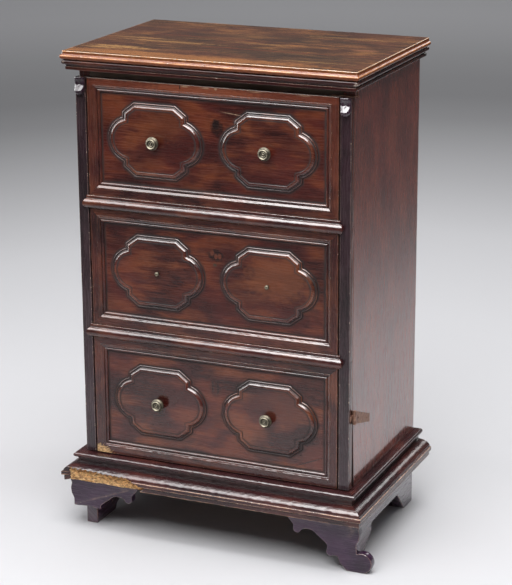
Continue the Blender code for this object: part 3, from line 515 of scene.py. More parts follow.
FIELD_MARKS = [blot(*row) for row in (
    (0.195, 0.190, 45, 30, (0.16, 0.036, 0.022), 0.5, 1.2), (0.003, 0.747, 12, 15, BLACK, 0.75, 0.8),
    (0.001, 0.752, 7, 9, BLACK, 0.8, 0.8), (-0.001, 0.527, 15, 11, BLACK, 0.75, 1.2),
    (-0.008, 0.531, 4, 5, RUST, 0.9, 0.4), (-0.001, 0.525, 3.5, 5, RUST, 0.9, 0.4),
    (0.006, 0.526, 3.5, 5, RUST, 0.9, 0.4), (-0.003, 0.510, 4, 3, (0.05, 0.05, 0.035), 0.8),
    (-0.005, 0.288, 12, 15, BLACK, 0.45, 1.0), (-0.010, 0.290, 2, 11, BLACK, 0.5),
    (0.000, 0.290, 2, 12, BLACK, 0.5), (0.170, 0.180, 37, 0.9, BLACK, 0.9, 0.3, 0.405),
    (0.035, 0.772, 27, 0.8, (0.45, 0.30, 0.20), 0.8, 0.3, -0.10))]
PANEL_MARKS = [blot(*row) for row in (
    (0.115, 0.500, 62, 40, (0.22, 0.070, 0.028), 0.6, 1.4),
    (-0.100, 0.745, 48, 34, (0.20, 0.052, 0.020), 0.4, 1.4),
    (0.110, 0.270, 60, 42, (0.062, 0.016, 0.013), 0.5, 1.4))]
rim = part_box("drawer_frame_top")[1].z - 2.5 * MM
RIM_PAINTED_LIGHT_AND_CHIPS = [blot(*row) for row in (
    # The first three rows are painted light: the top drawer's upper rail and the frame's top edge lie
    # in the cornice's shade. The rest are chips and a small dark notch.
    (0.0, rim - 4.5 * MM, 330, 9, (0.22, 0.054, 0.027), 0.75, 1.2),
    (-0.02, rim - 5 * MM, 110, 8, (0.32, 0.090, 0.042), 0.7, 1.4),
    (0.0, rim + 2.5 * MM, 330, 0.9, (0.46, 0.39, 0.33), 0.85, 0.6),
    (-0.061, rim - 2 * MM, 1.2, 4, BLACK, 0.9, 0.5), (-0.052, rim, 7, 1.3, CHIPPED, 0.8, 1.5),
    (-0.016, rim - 0.3 * MM, 11, 1.1, CHIPPED, 0.8, 1.5), (0.004, rim, 3, 2.6, CHIPPED, 0.9, 0.9),
    (0.075, rim, 16, 0.9, CHIPPED, 0.7, 1.5), (0.160, rim, 12, 0.8, CHIPPED, 0.7, 1.5))]
print(len(FIELD_MARKS) + len(PANEL_MARKS) + len(RIM_PAINTED_LIGHT_AND_CHIPS), "marks on the door")

# %% Marks left on the cornice and the top
out, foot = HALF + 13 * MM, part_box("cornice_right")[0].z
CORNICE_MARKS = [
    ((MIDDLE + out, FRONT - 13 * MM, foot + 10 * MM), (5 * MM, 5 * MM, 6 * MM), 0.0, 1.2,
     (0.62, 0.50, 0.42), 0.9),
    ((MIDDLE - out, FRONT - 13 * MM, foot + 14 * MM), (4 * MM, 4 * MM, 3 * MM), 0.0, 1.2,
     (0.55, 0.42, 0.34), 0.8)]
low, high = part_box("top_board")
PALE, SHADED = (0.36, 0.19, 0.065), (0.032, 0.019, 0.012)


def smear(x, back, long, wide, tint, depth, ragged=1.6):
    """A streak on the flat of the top: its middle, so far back from the front, and its half sizes."""
    return ((x, low.y + back * MM, high.z), (long * MM, wide * MM, 1.0), 0.0, ragged, tint, depth)


NOSE_MARK = ((0.0, 0.0, low.z + 6 * MM), (9.0, 9.0, 7 * MM), 0.0, 0.3, (0.23, 0.062, 0.020), 0.9)
TOP_MARKS = [NOSE_MARK] + [smear(*row) for row in (
    (-0.08, 26, 280, 22, (0.36, 0.14, 0.042), 0.55, 1.4), (-0.225, 62, 42, 6, PALE, 0.8),
    (-0.205, 78, 52, 9, PALE, 0.75), (-0.16, 70, 30, 5, PALE, 0.6), (-0.14, 150, 95, 6, PALE, 0.5),
    (-0.20, 170, 60, 6, PALE, 0.45), (0.02, 185, 70, 5, PALE, 0.35), (0.14, 290, 90, 7, PALE, 0.3),
    (0.10, 100, 160, 45, SHADED, 0.5, 1.2), (0.0, 240, 200, 35, SHADED, 0.35, 1.2),
    (0.20, 190, 24, 7, (0.26, 0.10, 0.05), 0.6), (0.17, 60, 70, 4, PALE, 0.4),
    (0.05, 130, 150, 4, (0.14, 0.032, 0.014), 0.6), (0.16, 250, 60, 5, SHADED, 0.6),
    (-0.05, 95, 110, 4, SHADED, 0.6), (-0.12, 215, 120, 4, (0.14, 0.034, 0.014), 0.5))]
print(len(CORNICE_MARKS) + len(TOP_MARKS), "marks on the cornice and the top")

# %% Walnut finishes
STRONG, BROAD, CLOUDY = (0.28, 0.5, 0.72), (0.60, 0.25, 0.15), (0.70, 0.20, 0.10)
FIELD_WALNUT = walnut("walnut_field", (0.032, 0.006, 0.005), (0.094, 0.019, 0.011),
                      (0.205, 0.052, 0.019), (0.24, 0.09, 0.04), STRONG, wear=0.3,
                      shares=BROAD, marks=FIELD_MARKS)
PANEL_WALNUT = walnut("walnut_panel", (0.034, 0.006, 0.005), (0.100, 0.022, 0.012),
                      (0.225, 0.062, 0.023), (0.24, 0.10, 0.05), STRONG, polish=0.7, wear=0.35,
                      dents=0.03, shares=BROAD, marks=PANEL_MARKS)
MOULDED_WALNUT = walnut("walnut_moulded", (0.028, 0.006, 0.006), (0.076, 0.018, 0.012),
                        (0.165, 0.046, 0.022), (0.24, 0.10, 0.055), STRONG, polish=0.66, dents=0.05,
                        marks=RIM_PAINTED_LIGHT_AND_CHIPS)
CORNICE_WALNUT = walnut("walnut_cornice", (0.022, 0.006, 0.006), (0.064, 0.017, 0.012),
                        (0.140, 0.040, 0.021), (0.20, 0.08, 0.045), polish=0.2, dents=0.08,
                        shine=0.2, rims=0.25, marks=CORNICE_MARKS)
# The sides are painted lighter than the front's walnut: they stand in shade, and the lighter colour
# makes up for it.
SIDE_WALNUT_PAINTED_LIGHTER = walnut("walnut_side", (0.090, 0.0135, 0.009), (0.180, 0.033, 0.019),
                     (0.285, 0.064, 0.032), (0.34, 0.16, 0.09), (0.0, 0.5, 1.0), polish=0.9, wear=0.5,
                     shine=0.45, shares=(0.60, 0.31, 0.09), redness=0.25, pores=0.3, blotches=0.15)
BASE_WALNUT = walnut("walnut_base", (0.018, 0.006, 0.008), (0.050, 0.015, 0.015),
                     (0.125, 0.036, 0.025), (0.52, 0.29, 0.18), polish=0.24, wear=1.0, dents=0.18,
                     shine=0.45, rims=0.6)
DARK_WALNUT = walnut("walnut_dark", (0.024, 0.010, 0.025), (0.044, 0.019, 0.047),
                     (0.070, 0.032, 0.066), (0.20, 0.11, 0.10), polish=0.4, dents=0.08,
                     shares=CLOUDY, pores=0.4)
APRON_WALNUT = walnut("walnut_apron", (0.030, 0.013, 0.026), (0.056, 0.026, 0.048),
                      (0.095, 0.048, 0.070), (0.26, 0.14, 0.11), polish=1.0, dents=0.08, shine=0.6,
                      shares=CLOUDY, pores=0.4)
STILE_WALNUT = walnut("walnut_stile", (0.018, 0.009, 0.011), (0.038, 0.019, 0.023),
                      (0.066, 0.036, 0.042), (0.18, 0.11, 0.10), polish=0.55, dents=0.08)
TOP_WALNUT = walnut("walnut_top", (0.036, 0.016, 0.009), (0.085, 0.034, 0.015), (0.25, 0.105, 0.034),
                    (0.64, 0.27, 0.09), (0.26, 0.5, 0.74), polish=0.15, wear=0.9, shine=0.25,
                    rims=0.35, shares=(0.30, 0.32, 0.38), redness=0.4, marks=TOP_MARKS)
# The consoles' pale grey worn colour, which the bend on each tongue's bulge calls up, is a painted
# highlight; it is weaker on the left one.
CONSOLE_WALNUT_PAINTED_HIGHLIGHT = {
    side: walnut("walnut_console_" + side, (0.026, 0.012, 0.020), (0.050, 0.026, 0.040),
                 (0.085, 0.044, 0.056), (0.50, 0.45, 0.43), polish=polish, wear=1.1 * polish,
                 dents=0.08, shine=0.5 * polish, rims=polish)
    for side, polish in (("left", 0.42), ("right", 0.8))}
print("walnut finishes:", [m.name for m in bpy.data.materials if m.name.startswith("walnut_")])

# %% [markdown]
# ## Inner wood, brass and iron
#
# The inside was never polished: plain sawn boards, dry and dusty. The knobs are brass gone dull
# and greenish, brighter on the rim that fingers touch, and the hinge is rusty iron.

# %% Inner wood
ACROSS, DEEP, UPRIGHT = (0.0, 0.0, 0.0), (0.0, 0.0, np.pi / 2), (0.0, np.pi / 2, 0.0)
DUST = (0.070, 0.041, 0.023)


def inner_wood(name, turn, dark, light, shift):
    """Dry unpolished softwood; the place is turned to run along the board, and moved in the log."""
    material, tree, place = new_finish(name)
    grain = add(tree, "Mapping", {"Vector": place, "Rotation": turn, "Location": (shift,) * 3})
    rings = grain.noise(1.0, 4.0, 0.6, (3.0, 70.0, 70.0), 0.3)
    fibre = grain.noise(1.0, 3.0, 0.6, (22.0, 520.0, 520.0))
    dust = place.noise(9.0, 4.0, 0.6)
    colour = rings.smooth(0.3, 0.7).blend(dark, light)
    colour = fibre.smooth(0.45, 0.75, 0.0, 0.5).blend(colour, np.multiply(0.45, dark))
    colour = dust.smooth(0.4, 0.75, 0.0, 0.55).blend(colour, DUST)
    dress(tree, fibre, 0.35, 0.6 * MM, Base_Color=colour, Specular_IOR_Level=0.3,
          Roughness=dust.smooth(0.2, 0.8, 0.62, 0.82))
    return material


INNER = {label: inner_wood("inner_wood_" + label, *row) for label, *row in (
    ("low", ACROSS, (0.080, 0.040, 0.018), (0.175, 0.096, 0.046), 0.0),
    ("mid", ACROSS, (0.100, 0.050, 0.022), (0.215, 0.120, 0.058), 3.3),
    ("top", ACROSS, (0.088, 0.046, 0.023), (0.190, 0.108, 0.056), 7.1),
    ("deep", DEEP, (0.090, 0.046, 0.021), (0.195, 0.110, 0.055), 0.0),
    ("upright", UPRIGHT, (0.080, 0.040, 0.019), (0.170, 0.092, 0.046), 0.0),
    # The rail is coloured lighter than the other inner boards: painted light on its face, which shows
    # in the shaded gap under the cornice.
    ("rail", ACROSS, (0.190, 0.135, 0.095), (0.330, 0.250, 0.190), 5.2))}
print("inner wood:", *INNER)

# %% Brass and iron
def old_metal(name, dark, light, rubbed, grime, metallic, smooth, rough):
    """Tarnished metal: two colours by a cloudy noise, rubbed bright on rims, grimy in grooves."""
    material, tree, place = new_finish(name)
    bend = add(tree, "Attribute", None, "Fac", attribute_name="bend")
    cloud = place.noise(160.0, 4.0, 0.6)
    spot = place.noise(420.0, 4.0, 0.65).smooth(0.52, 0.68)
    colour = cloud.smooth(0.32, 0.68).blend(dark, light)
    colour = (spot * 0.7).blend(colour, grime)
    colour = bend.smooth(0.1, 0.9, 0.0, 0.9).blend(colour, rubbed)
    colour = bend.smooth(-0.1, -0.9, 0.0, 0.95).blend(colour, grime)
    dress(tree, cloud, 0.3, 0.4 * MM, Base_Color=colour, Metallic=metallic,
          Roughness=cloud.smooth(0.2, 0.8, smooth, rough))
    return material


OLD_BRASS = old_metal("old_brass", (0.058, 0.049, 0.032), (0.135, 0.116, 0.080),
                      (0.215, 0.192, 0.140), (0.016, 0.014, 0.011), 0.6, 0.42, 0.58)
OLD_IRON = old_metal("old_iron", (0.19, 0.090, 0.062), (0.42, 0.245, 0.175), (0.54, 0.38, 0.30),
                     (0.060, 0.026, 0.018), 0.45, 0.40, 0.62)
print("metals ready")

# %% [markdown]
# ## Mouldings of the base and cornice
#
# These mouldings run round the front and both sides and are mitred at the front corners. A station
# turns a section's overhang and height into a place: along the front, x is stretched with the
# overhang, so that both ends come out as mitres without being cut.

# %% Runs along the front and the sides
def front_run(outline, bend, foot, stations, inner=-1.0):
    """Across the front: x = middle + s (half + out), y = front - out, with s from -1 to 1."""
    out, up = outline.T
    width = HALF + np.maximum(out, inner) - MITRE
    share = np.linspace(-1.0, 1.0, stations)[:, None]
    points = xyz(MIDDLE + share * width, FRONT - out, foot + up)
    return carried(points, points[..., 0], girth(outline), bend)


def side_run(outline, bend, foot, stations, sign):
    """Down one side: y runs from the mitre, front - out, to the back."""
    out, up = outline.T
    mitre = FRONT - out + MITRE
    share = np.linspace(0.0, 1.0, stations)[:, None]
    points = xyz(MIDDLE + sign * (HALF + out), mitre + share * (BACK - mitre), foot + up)
    return carried(points, points[..., 1], girth(outline), bend)


def round_moulding(name, front, side, finish, nicks, sharp=42.0):
    """The front run of a moulding, and a run down each side from side_run's first four values."""
    make_piece(name + "_front", [front], finish, sharp=sharp, nicks=nicks)
    for which, sign in SIDES.items():
        make_piece(name + "_" + which, [side_run(*side, sign)], finish, nicks=nicks)
    say(name)


# %% Cornice
nose = arc((12.5, 13.3), (4.0, 4.2), -80, 85, 9)
face = [(0.3, 0.0), (11.0, 0.0), (11.6, 1.2), (11.6, 5.2), (10.2, 6.2), (11.2, 8.0), (12.0, 9.0),
        *nose, (11.5, 17.7), (0.3, 17.7)]
radii = [0.4, 0.6, 0.6, 0.7, 0.4, 0.3, 0.3] + [0.0] * len(nose) + [0.3, 0.4]
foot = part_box("cornice_front")[0].z
deep = (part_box("cornice_front")[1].y - FRONT) / MM
deep_section = section([(-deep, 0.0)] + face + [(-deep, 17.7)], [0.4] + radii + [0.4], 4 * MM)
round_moulding("cornice", front_run(*deep_section, foot, 260, SEAT),
               (*section(face, radii, 4 * MM), foot, 120), CORNICE_WALNUT, 0.07 * MM)

# %% Base bead
BASE_NICKS = 0.11 * MM
nose = arc((13.9, 4.1), (4.1, 4.1), -90, 90, 12)
bead_section = section([(-25.0, 0.0), *nose, (-25.0, 8.2)], [0.4] + [0.0] * len(nose) + [0.4], 6 * MM)
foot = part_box("base_bead_front")[0].z
round_moulding("base_bead", front_run(*bead_section, foot, 280), (*bead_section, foot, 150),
               BASE_WALNUT, BASE_NICKS)

# %% [markdown]
# ## The broken plinth
#
# A long splinter is torn off the front plinth at its left end, down to raw yellow wood. The section
# is carried with many stations, and wherever it would stand in front of a ragged tear it is pushed
# back to it. The tear runs along the fibres, so its ridges are long in x and short in z.

# %% Plinth
hollow = arc((12.0, 18.0), (20.0, 11.5), 0, 88, 12)
corners = [(-25.0, 0.0), (31.0, 0.0), (31.0, 9.5), (35.0, 10.3), (35.0, 17.2), (32.6, 17.9), *hollow,
           (10.0, 30.4), (9.8, 34.0), (11.0, 38.0), (13.0, 41.0), (-25.0, 41.0)]
radii = [0.5, 0.9, 0.5, 0.9, 0.9, 0.3] + [0.0] * len(hollow) + [0.4, 1.0, 1.0, 0.6, 0.5]
plinth_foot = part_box("plinth_front")[0].z
PLINTH_LEFT = MIDDLE - HALF - 35 * MM
BREAK_END, CORNER_END = PLINTH_LEFT + 163 * MM, PLINTH_LEFT + 45 * MM
TORN = 0.98


def torn_back(shell):
    """Push a front run back to the tear: y is at least front - face(x, z) inside the torn outline."""
    x, y, z = shell.points.T
    up = z - plinth_foot
    rag = (np.sin(x * 610 + 1.0) + np.sin(x * 1370) + 0.7 * np.sin(x * 2900 + z * 300)) * 0.7 * MM
    top = np.interp(x, [PLINTH_LEFT, BREAK_END - 34 * MM, BREAK_END],
                    [24.5 * MM, 20.5 * MM, 8 * MM]) + rag
    foot = np.interp(x, [BREAK_END - 14 * MM, BREAK_END], [-4 * MM, 8 * MM]) + 0.5 * rag
    ridge = (np.sin(z * 2100 + 3 * np.sin(x * 60)) + 0.6 * np.sin(z * 4300 + x * 90)
             + 0.8 * np.sin(x * 240 + z * 500) + 0.5 * np.sin(x * 830 - z * 900))
    face = (21.5 + 0.9 * ridge + 0.06 * (up / MM)) * MM
    stands = FRONT - y - face
    torn = (up < top) & (up > foot) & (stands > 0)
    push = np.where(torn, TORN * stands, 0.0)
    share = np.clip((CORNER_END - x) / (45 * MM), 0.0, 1.0)
    return shell._replace(points=np.stack([x + push * share, y + push, z], 1),
                          raw=torn.astype(float))


fine_section = section(corners, radii, 1.3 * MM)
round_moulding("plinth", torn_back(front_run(*fine_section, plinth_foot, 330)),
               (*section(corners, radii, 5 * MM), plinth_foot, 150), BASE_WALNUT, BASE_NICKS, 55.0)

# %% [markdown]
# ## The top board
#
# The top is one wide streaky board. Its edge is a round nose below and a small hollow above it, on
# three sides. It is built from rings that follow its outline, each a little further in or out and
# higher than the last; the back edge stays plain, so a ring is only drawn in from the front and the
# sides. On the flat top the rings shrink towards the middle.

# %% Top board
low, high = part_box("top_board")
half_wide, deep = (high.x - low.x) / 2, high.y - low.y
outline, _ = filled(*eased([(-half_wide, 0.0), (half_wide, 0.0), (half_wide, deep),
                            (-half_wide, deep)], [3 * MM, 3 * MM, 1 * MM, 1 * MM]), 5 * MM)
EDGE = np.array([
    (14, 0, 0), (6, 0, 0), (4, 0.15, 0.2), (2.2, 0.8, 0.3), (1, 1.9, 0.3), (0.3, 3.1, 0.2),
    (0, 4.4, 0.4), (0.1, 5.4, 0.7), (0.5, 6.6, 1), (1.2, 7.5, 1), (1.9, 7.9, 0.5), (2.4, 8.3, -0.2),
    (3, 9, 0), (3.4, 10.2, 0.2), (3.6, 11.8, 0.4), (3.7, 13.5, 0.8), (3.9, 14.1, 1.7),
    (4.4, 14.5, 1.7), (5, 14.5, 0.6), (7, 14.5, 0), (16, 14.5, 0)])
FLAT_RINGS = 14
ring_in, ring_up, ring_bend = EDGE[:, :1] * MM, EDGE[:, 1:2] * MM, EDGE[:, 2:]
centre = np.array([(low.x + high.x) / 2, (low.y + high.y) / 2, high.z])
edge = xyz(centre[0] + outline[:, 0] * (1 - ring_in / half_wide),
           high.y - (deep - outline[:, 1]) * (1 - ring_in / deep), low.z + ring_up)
shrink = np.linspace(0.92, 0.04, FLAT_RINGS)[:, None, None]
points = np.concatenate([edge, centre + (edge[-1:] - centre) * shrink])
ring_bend = np.concatenate([ring_bend, np.zeros((FLAT_RINGS, 1))])
make_piece("top_board", [grained(carried(points, 0.0, girth(outline), ring_bend), 0)], TOP_WALNUT)
say("top_board")

# %% [markdown]
# ## Boards
#
# A sawn board is a rectangle carried along its grain, with every edge eased and both ends drawn in
# by the same round. The sides have upright grain, the door's planks and the back run across.

# %% Plain boards
QUARTER = np.linspace(0.0, np.pi / 2, 4)


def board(node, axis, ease, longest=12 * MM, across=24 * MM):
    """A rounded rectangle carried along one axis; at each end it shrinks by a quarter round."""
    low, high = (np.array(corner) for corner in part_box(node))
    others = [other for other in range(3) if other != axis]
    half, centre = (high - low)[others] / 2, (high + low)[others] / 2
    corners = np.array([[-1, -1], [1, -1], [1, 1], [-1, 1]]) * half
    outline, bend = filled(*eased(corners, ease), across)
    length = high[axis] - low[axis]
    near, shrink = ease * (1 - np.cos(QUARTER)), ease * (1 - np.sin(QUARTER))
    middle = np.linspace(ease, length - ease, max(4, int(length / longest)))[1:-1]
    place = np.concatenate([near, middle, length - near[::-1]])
    inset = np.concatenate([shrink, 0 * middle, shrink[::-1]])
    points = np.empty((len(place), len(outline), 3))
    points[..., axis] = low[axis] + place[:, None]
    points[..., others] = centre + outline * (1 - inset[:, None, None] / half)
    ends = (inset > 0.05 * ease).astype(float)[:, None]
    return carried(points, points[..., axis], girth(outline), np.maximum(bend, ends))


def worn_foot(shell, depth, rise):
    """Shear a board's front edge back near its foot: by depth (1 - height / rise) ^ 0.8."""
    x, y, z = shell.points.T
    back = depth * np.clip(1 - (z - z.min()) / rise, 0.0, 1.0) ** 0.8
    # Bend -1 on the front edge low down: painted shade in the gap beside the door's stile.
    shade_and_dirt = (y < y.min() + 1.0 * MM) & (z < z.min() + rise)
    return shell._replace(points=np.stack([x, y + back * (y.max() - y) / np.ptp(y), z], 1),
                          bend=np.where(shade_and_dirt, -1.0, shell.bend))


make_piece("side_left", [board("side_left", 2, 1.2 * MM)], SIDE_WALNUT_PAINTED_LIGHTER,
           inside=(INNER["upright"], (0, 1), (1, 1)))
make_piece("side_right", [worn_foot(board("side_right", 2, 1.3 * MM), 9 * MM, 144 * MM)],
           SIDE_WALNUT_PAINTED_LIGHTER, inside=(INNER["upright"], (0, -1), (1, 1)))
for side in SIDES:
    node = "door_stile_" + side
    make_piece(node, [board(node, 2, 1.0 * MM)], STILE_WALNUT,
               inside=(INNER["upright"], (1, 1)))
    node = "rear_foot_block_" + side
    make_piece(node, [board(node, 2, 1.5 * MM)], DARK_WALNUT)
say("side", "door_stile", "rear_foot_block")

# %% [markdown]
# ## Sawn outlines
#
# The feet are boards sawn to a scrolled outline. Here the outline is carried through the thickness,
# and drawn in along its own normals near both faces to ease the edges.

# %% Boards sawn to an outline
def sawn(node, axis, corners, radii, ease=1.2 * MM):
    """An outline along x or y, axis 0 or 1, carried through a solid's thickness, eased at both faces.

    The inward step along the outline's normal is ease (1 - sin a), the depth is ease (1 - cos a).
    """
    near, far = (corner[1 - axis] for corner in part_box(node))
    outline, bend = filled(*eased(corners, radii), 8 * MM)
    tangent = unit(np.roll(outline, -1, 0) - np.roll(outline, 1, 0))
    normal = np.stack([tangent[:, 1], -tangent[:, 0]], 1) * np.sign(twice_area(outline))
    depth = np.append(0.0, ease * (1 - np.cos(QUARTER)))
    inset = np.append(ease + 0.3 * MM, ease * (1 - np.sin(QUARTER)))
    worn = np.array([0.0, 1.0, 1.0, 1.0, 0.0])
    depth = np.concatenate([near + depth, far - depth[::-1]])[:, None]
    inset, worn = (np.append(row, row[::-1])[:, None] for row in (inset, worn))
    flat = outline - normal * inset[..., None]
    x, y = (flat[..., 0], depth) if axis == 0 else (depth, flat[..., 0])
    shell = carried(xyz(x, y, flat[..., 1]), 0.0, girth(outline), np.maximum(worn, bend))
    return grained(shell, axis)


# %% Front feet
WING = -107.0
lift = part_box("front_bracket_right")[1].z / MM
lobe_in = arc((WING + 19.0, lift - 25.7), (7.5, 7.5), 170, 350, 12)
lobe_out = arc((WING + 81.0, 30.5), (8.0, 8.0), 150, 310, 12)
toe = arc((31.0, 18.0), (18.0, 18.0), -90, 120, 24)
foot_outline = np.vstack([
    [(WING, lift), (WING, lift - 4.7), (WING + 6.0, lift - 12.0), (WING + 12.0, lift - 18.7)], lobe_in,
    [(WING + 33.0, 64.5), (WING + 41.5, 65.5), (WING + 49.0, 63.2), (WING + 56.5, 57.0),
     (WING + 70.0, 47.0), (WING + 74.0, 42.0)], lobe_out,
    [(WING + 94.0, 24.0), (WING + 96.5, 17.0), (WING + 100.0, 11.0), (WING + 105.0, 6.0),
     (WING + 111.5, 0.0)], toe,
    [(21.8, 38.0), (20.8, 50.0), (25.5, 59.0), (27.0, 69.0), (24.5, 79.0), (28.5, lift)]]) * MM
right_foot = foot_outline + [MIDDLE + HALF, 0.0]
make_piece("front_bracket_right", [sawn("front_bracket_right", 0, right_foot, 2.0 * MM)],
           DARK_WALNUT, waviness=0.0)

# %% The broken left foot
stump = np.array([(20.8, 37.0), (14.0, 36.2), (6.0, 37.6), (-2.0, 37.9), (-9.0, 38.3), (-18.0, 37.6),
                  (-26.0, 36.6), (-32.6, 35.6)]) * MM
upper = foot_outline[foot_outline[:, 1] > 39.0 * MM]
split = int(np.argmax(upper[:, 0] > 0.0))
left_foot = np.vstack([upper[:split], stump[::-1], upper[split:]]) * [-1.0, 1.0]
left_foot += [MIDDLE - HALF, 0.0]
make_piece("front_bracket_left", [sawn("front_bracket_left", 0, left_foot, 1.6 * MM)],
           DARK_WALNUT, waviness=0.0)
say("front_bracket")

# %% Side feet
low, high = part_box("side_bracket_right")
sole, rear, clear = low.y + 72 * MM, high.y - 43 * MM, 41 * MM
side_foot = [(low.y, high.z), (low.y, 0.0), (sole, 0.0), (sole + 5 * MM, 10 * MM),
             (sole + 19 * MM, 16 * MM), (sole + 31 * MM, 25 * MM), (sole + 34 * MM, clear - 1 * MM),
             (sole + 38 * MM, clear), (rear - 40 * MM, clear), (rear - 36 * MM, clear - 2 * MM),
             (rear, 0.0), (high.y, 0.0), (high.y, high.z)]
for side in SIDES:
    node = "side_bracket_" + side
    make_piece(node, [sawn(node, 1, side_foot, 2.5 * MM)], APRON_WALNUT, waviness=0.0)
say("side_bracket")

# %% [markdown]
# ## Drawer frames
#
# Each sham drawer is a flat border with a moulding on its inner edge, mitred from four rails. The
# rails are separate shells in one mesh, so the grain turns at each mitre as it does in wood.

# %% Frames
FRAME_WIDE = 23.5
frame_high = (FIELD - FRONT) / MM - 0.3
frame_round = arc((20.8, 0.2), (2.4, 3.0), 155, 10, 8)
frame_corners = [(0.0, 0.0), (0.0, frame_high), (12.0, frame_high), (12.3, frame_high + 0.6),
                 (13.9, frame_high + 0.6), (15.4, frame_high - 0.4), (17.4, frame_high - 1.5),
                 (18.1, frame_high - 3.2), (18.5, frame_high - 3.2), *frame_round, (FRAME_WIDE, 0.0)]
frame_radii = [0.0, 0.9, 0.15, 0.25, 0.4, 0.0, 0.5, 0.15, 0.15] + [0.0] * len(frame_round) + [0.0]
frame_outline, frame_bend = section(frame_corners, frame_radii, 2.5 * MM)


def frame_rails(node):
    """Four rails: along each side the run is from edge + in to edge - in, so both ends are mitred."""
    low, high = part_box(node)
    inward, rise = frame_outline.T
    inset, around = inward + 0.12 * MM, girth(frame_outline)
    share = np.linspace(0.0, 1.0, 230)[:, None]
    level = low.x + inset + share * (high.x - low.x - 2 * inset)
    upright = low.z + inset + share * (high.z - low.z - 2 * inset)
    rails = []
    for x, z in ((low.x + inward, low.z + inward), (high.x - inward, high.z - inward)):
        rails.append(carried(xyz(level, SEATED - rise, z), level, around, frame_bend))
        rails.append(carried(xyz(x, SEATED - rise, upright), upright + 0.5, around, frame_bend))
    return rails


def split_corner(shell, corner):
    """Raw wood where (across / 30 mm)^2 + (up / 15 mm)^2, made ragged by sines, stays below one."""
    across, up = shell.points[:, 0] - corner.x, shell.points[:, 2] - corner.z
    ragged = 0.2 * np.sin(across * 900 + up * 400) + 0.2 * np.sin(across * 2300 - up * 1700)
    reach = (across / (30 * MM)) ** 2 + (up / (15 * MM)) ** 2 + ragged
    return shell._replace(raw=np.clip(3.0 * (1.0 - reach), 0.0, 0.9))


for level in LEVELS:
    node = "drawer_frame_" + level
    rails = frame_rails(node)
    if level == "bottom":
        rails = [split_corner(rail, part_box(node)[0]) for rail in rails]
    make_piece(node, rails, MOULDED_WALNUT, nicks=0.05 * MM)
say("drawer_frame")

# %% [markdown]
# ## Cartouches
#
# Two raised panels sit on each field, with a straight top, sloped shoulders and round lobes. The
# moulded edge rises inwards, so its upper slopes catch the light from above and its lower ones stay
# dark. Rings follow the outline and are moved in along its mitres, which keeps the shoulders crisp.

# %% Outline of a cartouche
def cartouche_outline(node):
    """Clockwise outline from shares of the solid's half width and half height, and its centre."""
    low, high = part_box(node)
    wide, tall = (high.x - low.x) / 2, (high.z - low.z) / 2
    lobe = np.array([0.4545 * wide, 0.620 * tall])
    centre, shoulder = wide - lobe[0], 0.682 * wide
    reach = np.degrees(np.arccos((shoulder - centre) / lobe[0]))
    straight = np.linspace((-0.432 * wide, tall), (0.432 * wide, tall), 24)
    slope = np.linspace(straight[-1], (shoulder, 0.741 * tall), 8)[1:]
    round_lobe = arc((centre, 0.0), lobe, reach, -reach, 56)
    right = np.vstack([straight[12:], slope, round_lobe, (slope * [1, -1])[::-1],
                       (straight[12:] * [1, -1])[::-1]])
    return np.vstack([right, -right]), ((low.x + high.x) / 2, (low.z + high.z) / 2)


def mitre_steps(outline):
    """Inward step at each point: the bisector of its two edges, stretched to keep the width."""
    ahead = unit(np.roll(outline, -1, 0) - outline)
    both = ahead + np.roll(ahead, 1, 0)
    inward = unit(np.stack([both[:, 1], -both[:, 0]], 1))
    return inward / np.sum(inward * np.stack([ahead[:, 1], -ahead[:, 0]], 1), 1)[:, None]


# %% Cartouches
BAND, PANEL_RISE, PANEL_RINGS = 11.0, 4.5, 12
# Negative bends darken the section: dirt in its hollow, and painted shade on the outer bead and on the
# flat just inside the edge.
EDGE_SECTION = np.array([
    (0, 0, -1), (0, 0.4, -0.8), (0.2, 0.85, -0.5), (0.6, 1.22, -0.3), (1.1, 1.53, -0.3),
    (1.6, 1.66, -0.5), (2.0, 1.55, -0.8), (2.25, 1.2, -1), (2.7, 1.1, -1), (3.3, 1.2, -0.8),
    (4.0, 1.42, -0.6), (4.4, 1.7, -0.6), (4.65, 2.05, -0.6), (4.9, 2.5, -0.4), (5.2, 2.95, 0),
    (5.6, 3.4, 0.2), (6.1, 3.85, 0.3), (6.6, 4.23, 0.5), (7.1, 4.54, 0.7), (7.7, 4.8, 0.8),
    (8.4, 4.96, 0.8), (9.2, 5.0, 0.7), (10.0, 4.97, 0.3), (10.5, 4.82, -0.4), (10.8, 4.58, -1),
    (BAND, PANEL_RISE, -1), (11.6, PANEL_RISE, -0.8), (13.0, PANEL_RISE, -0.35),
    (17.0, PANEL_RISE, -0.12), (22.0, PANEL_RISE, 0)])


def cartouche(node):
    """Rings at outline + inward step, raised from the field; then rings that shrink to the middle."""
    outline, (x, z) = cartouche_outline(node)
    tall = outline[:, 1].max()
    step, rise, bend = EDGE_SECTION.T
    mitred = outline + mitre_steps(outline) * (np.minimum(step, BAND) * MM)[:, None, None]
    flat = mitred * (1 - np.maximum(step - BAND, 0.0) * MM / tall)[:, None, None]
    flat = np.concatenate([flat, flat[-1:] * np.linspace(0.9, 0.03, PANEL_RINGS)[:, None, None]])
    rise = np.append(rise, np.full(PANEL_RINGS, PANEL_RISE))[:, None] * MM
    bend = np.append(bend, np.zeros(PANEL_RINGS))[:, None]
    points = xyz(x + flat[..., 0], SEATED - rise, z + flat[..., 1])
    return grained(carried(points, 0.0, girth(outline), bend), 0)


for level in LEVELS:
    for side in SIDES:
        node = "cartouche_" + level + "_" + side
        make_piece(node, [cartouche(node)], PANEL_WALNUT, nicks=0.05 * MM)
say("cartouche")

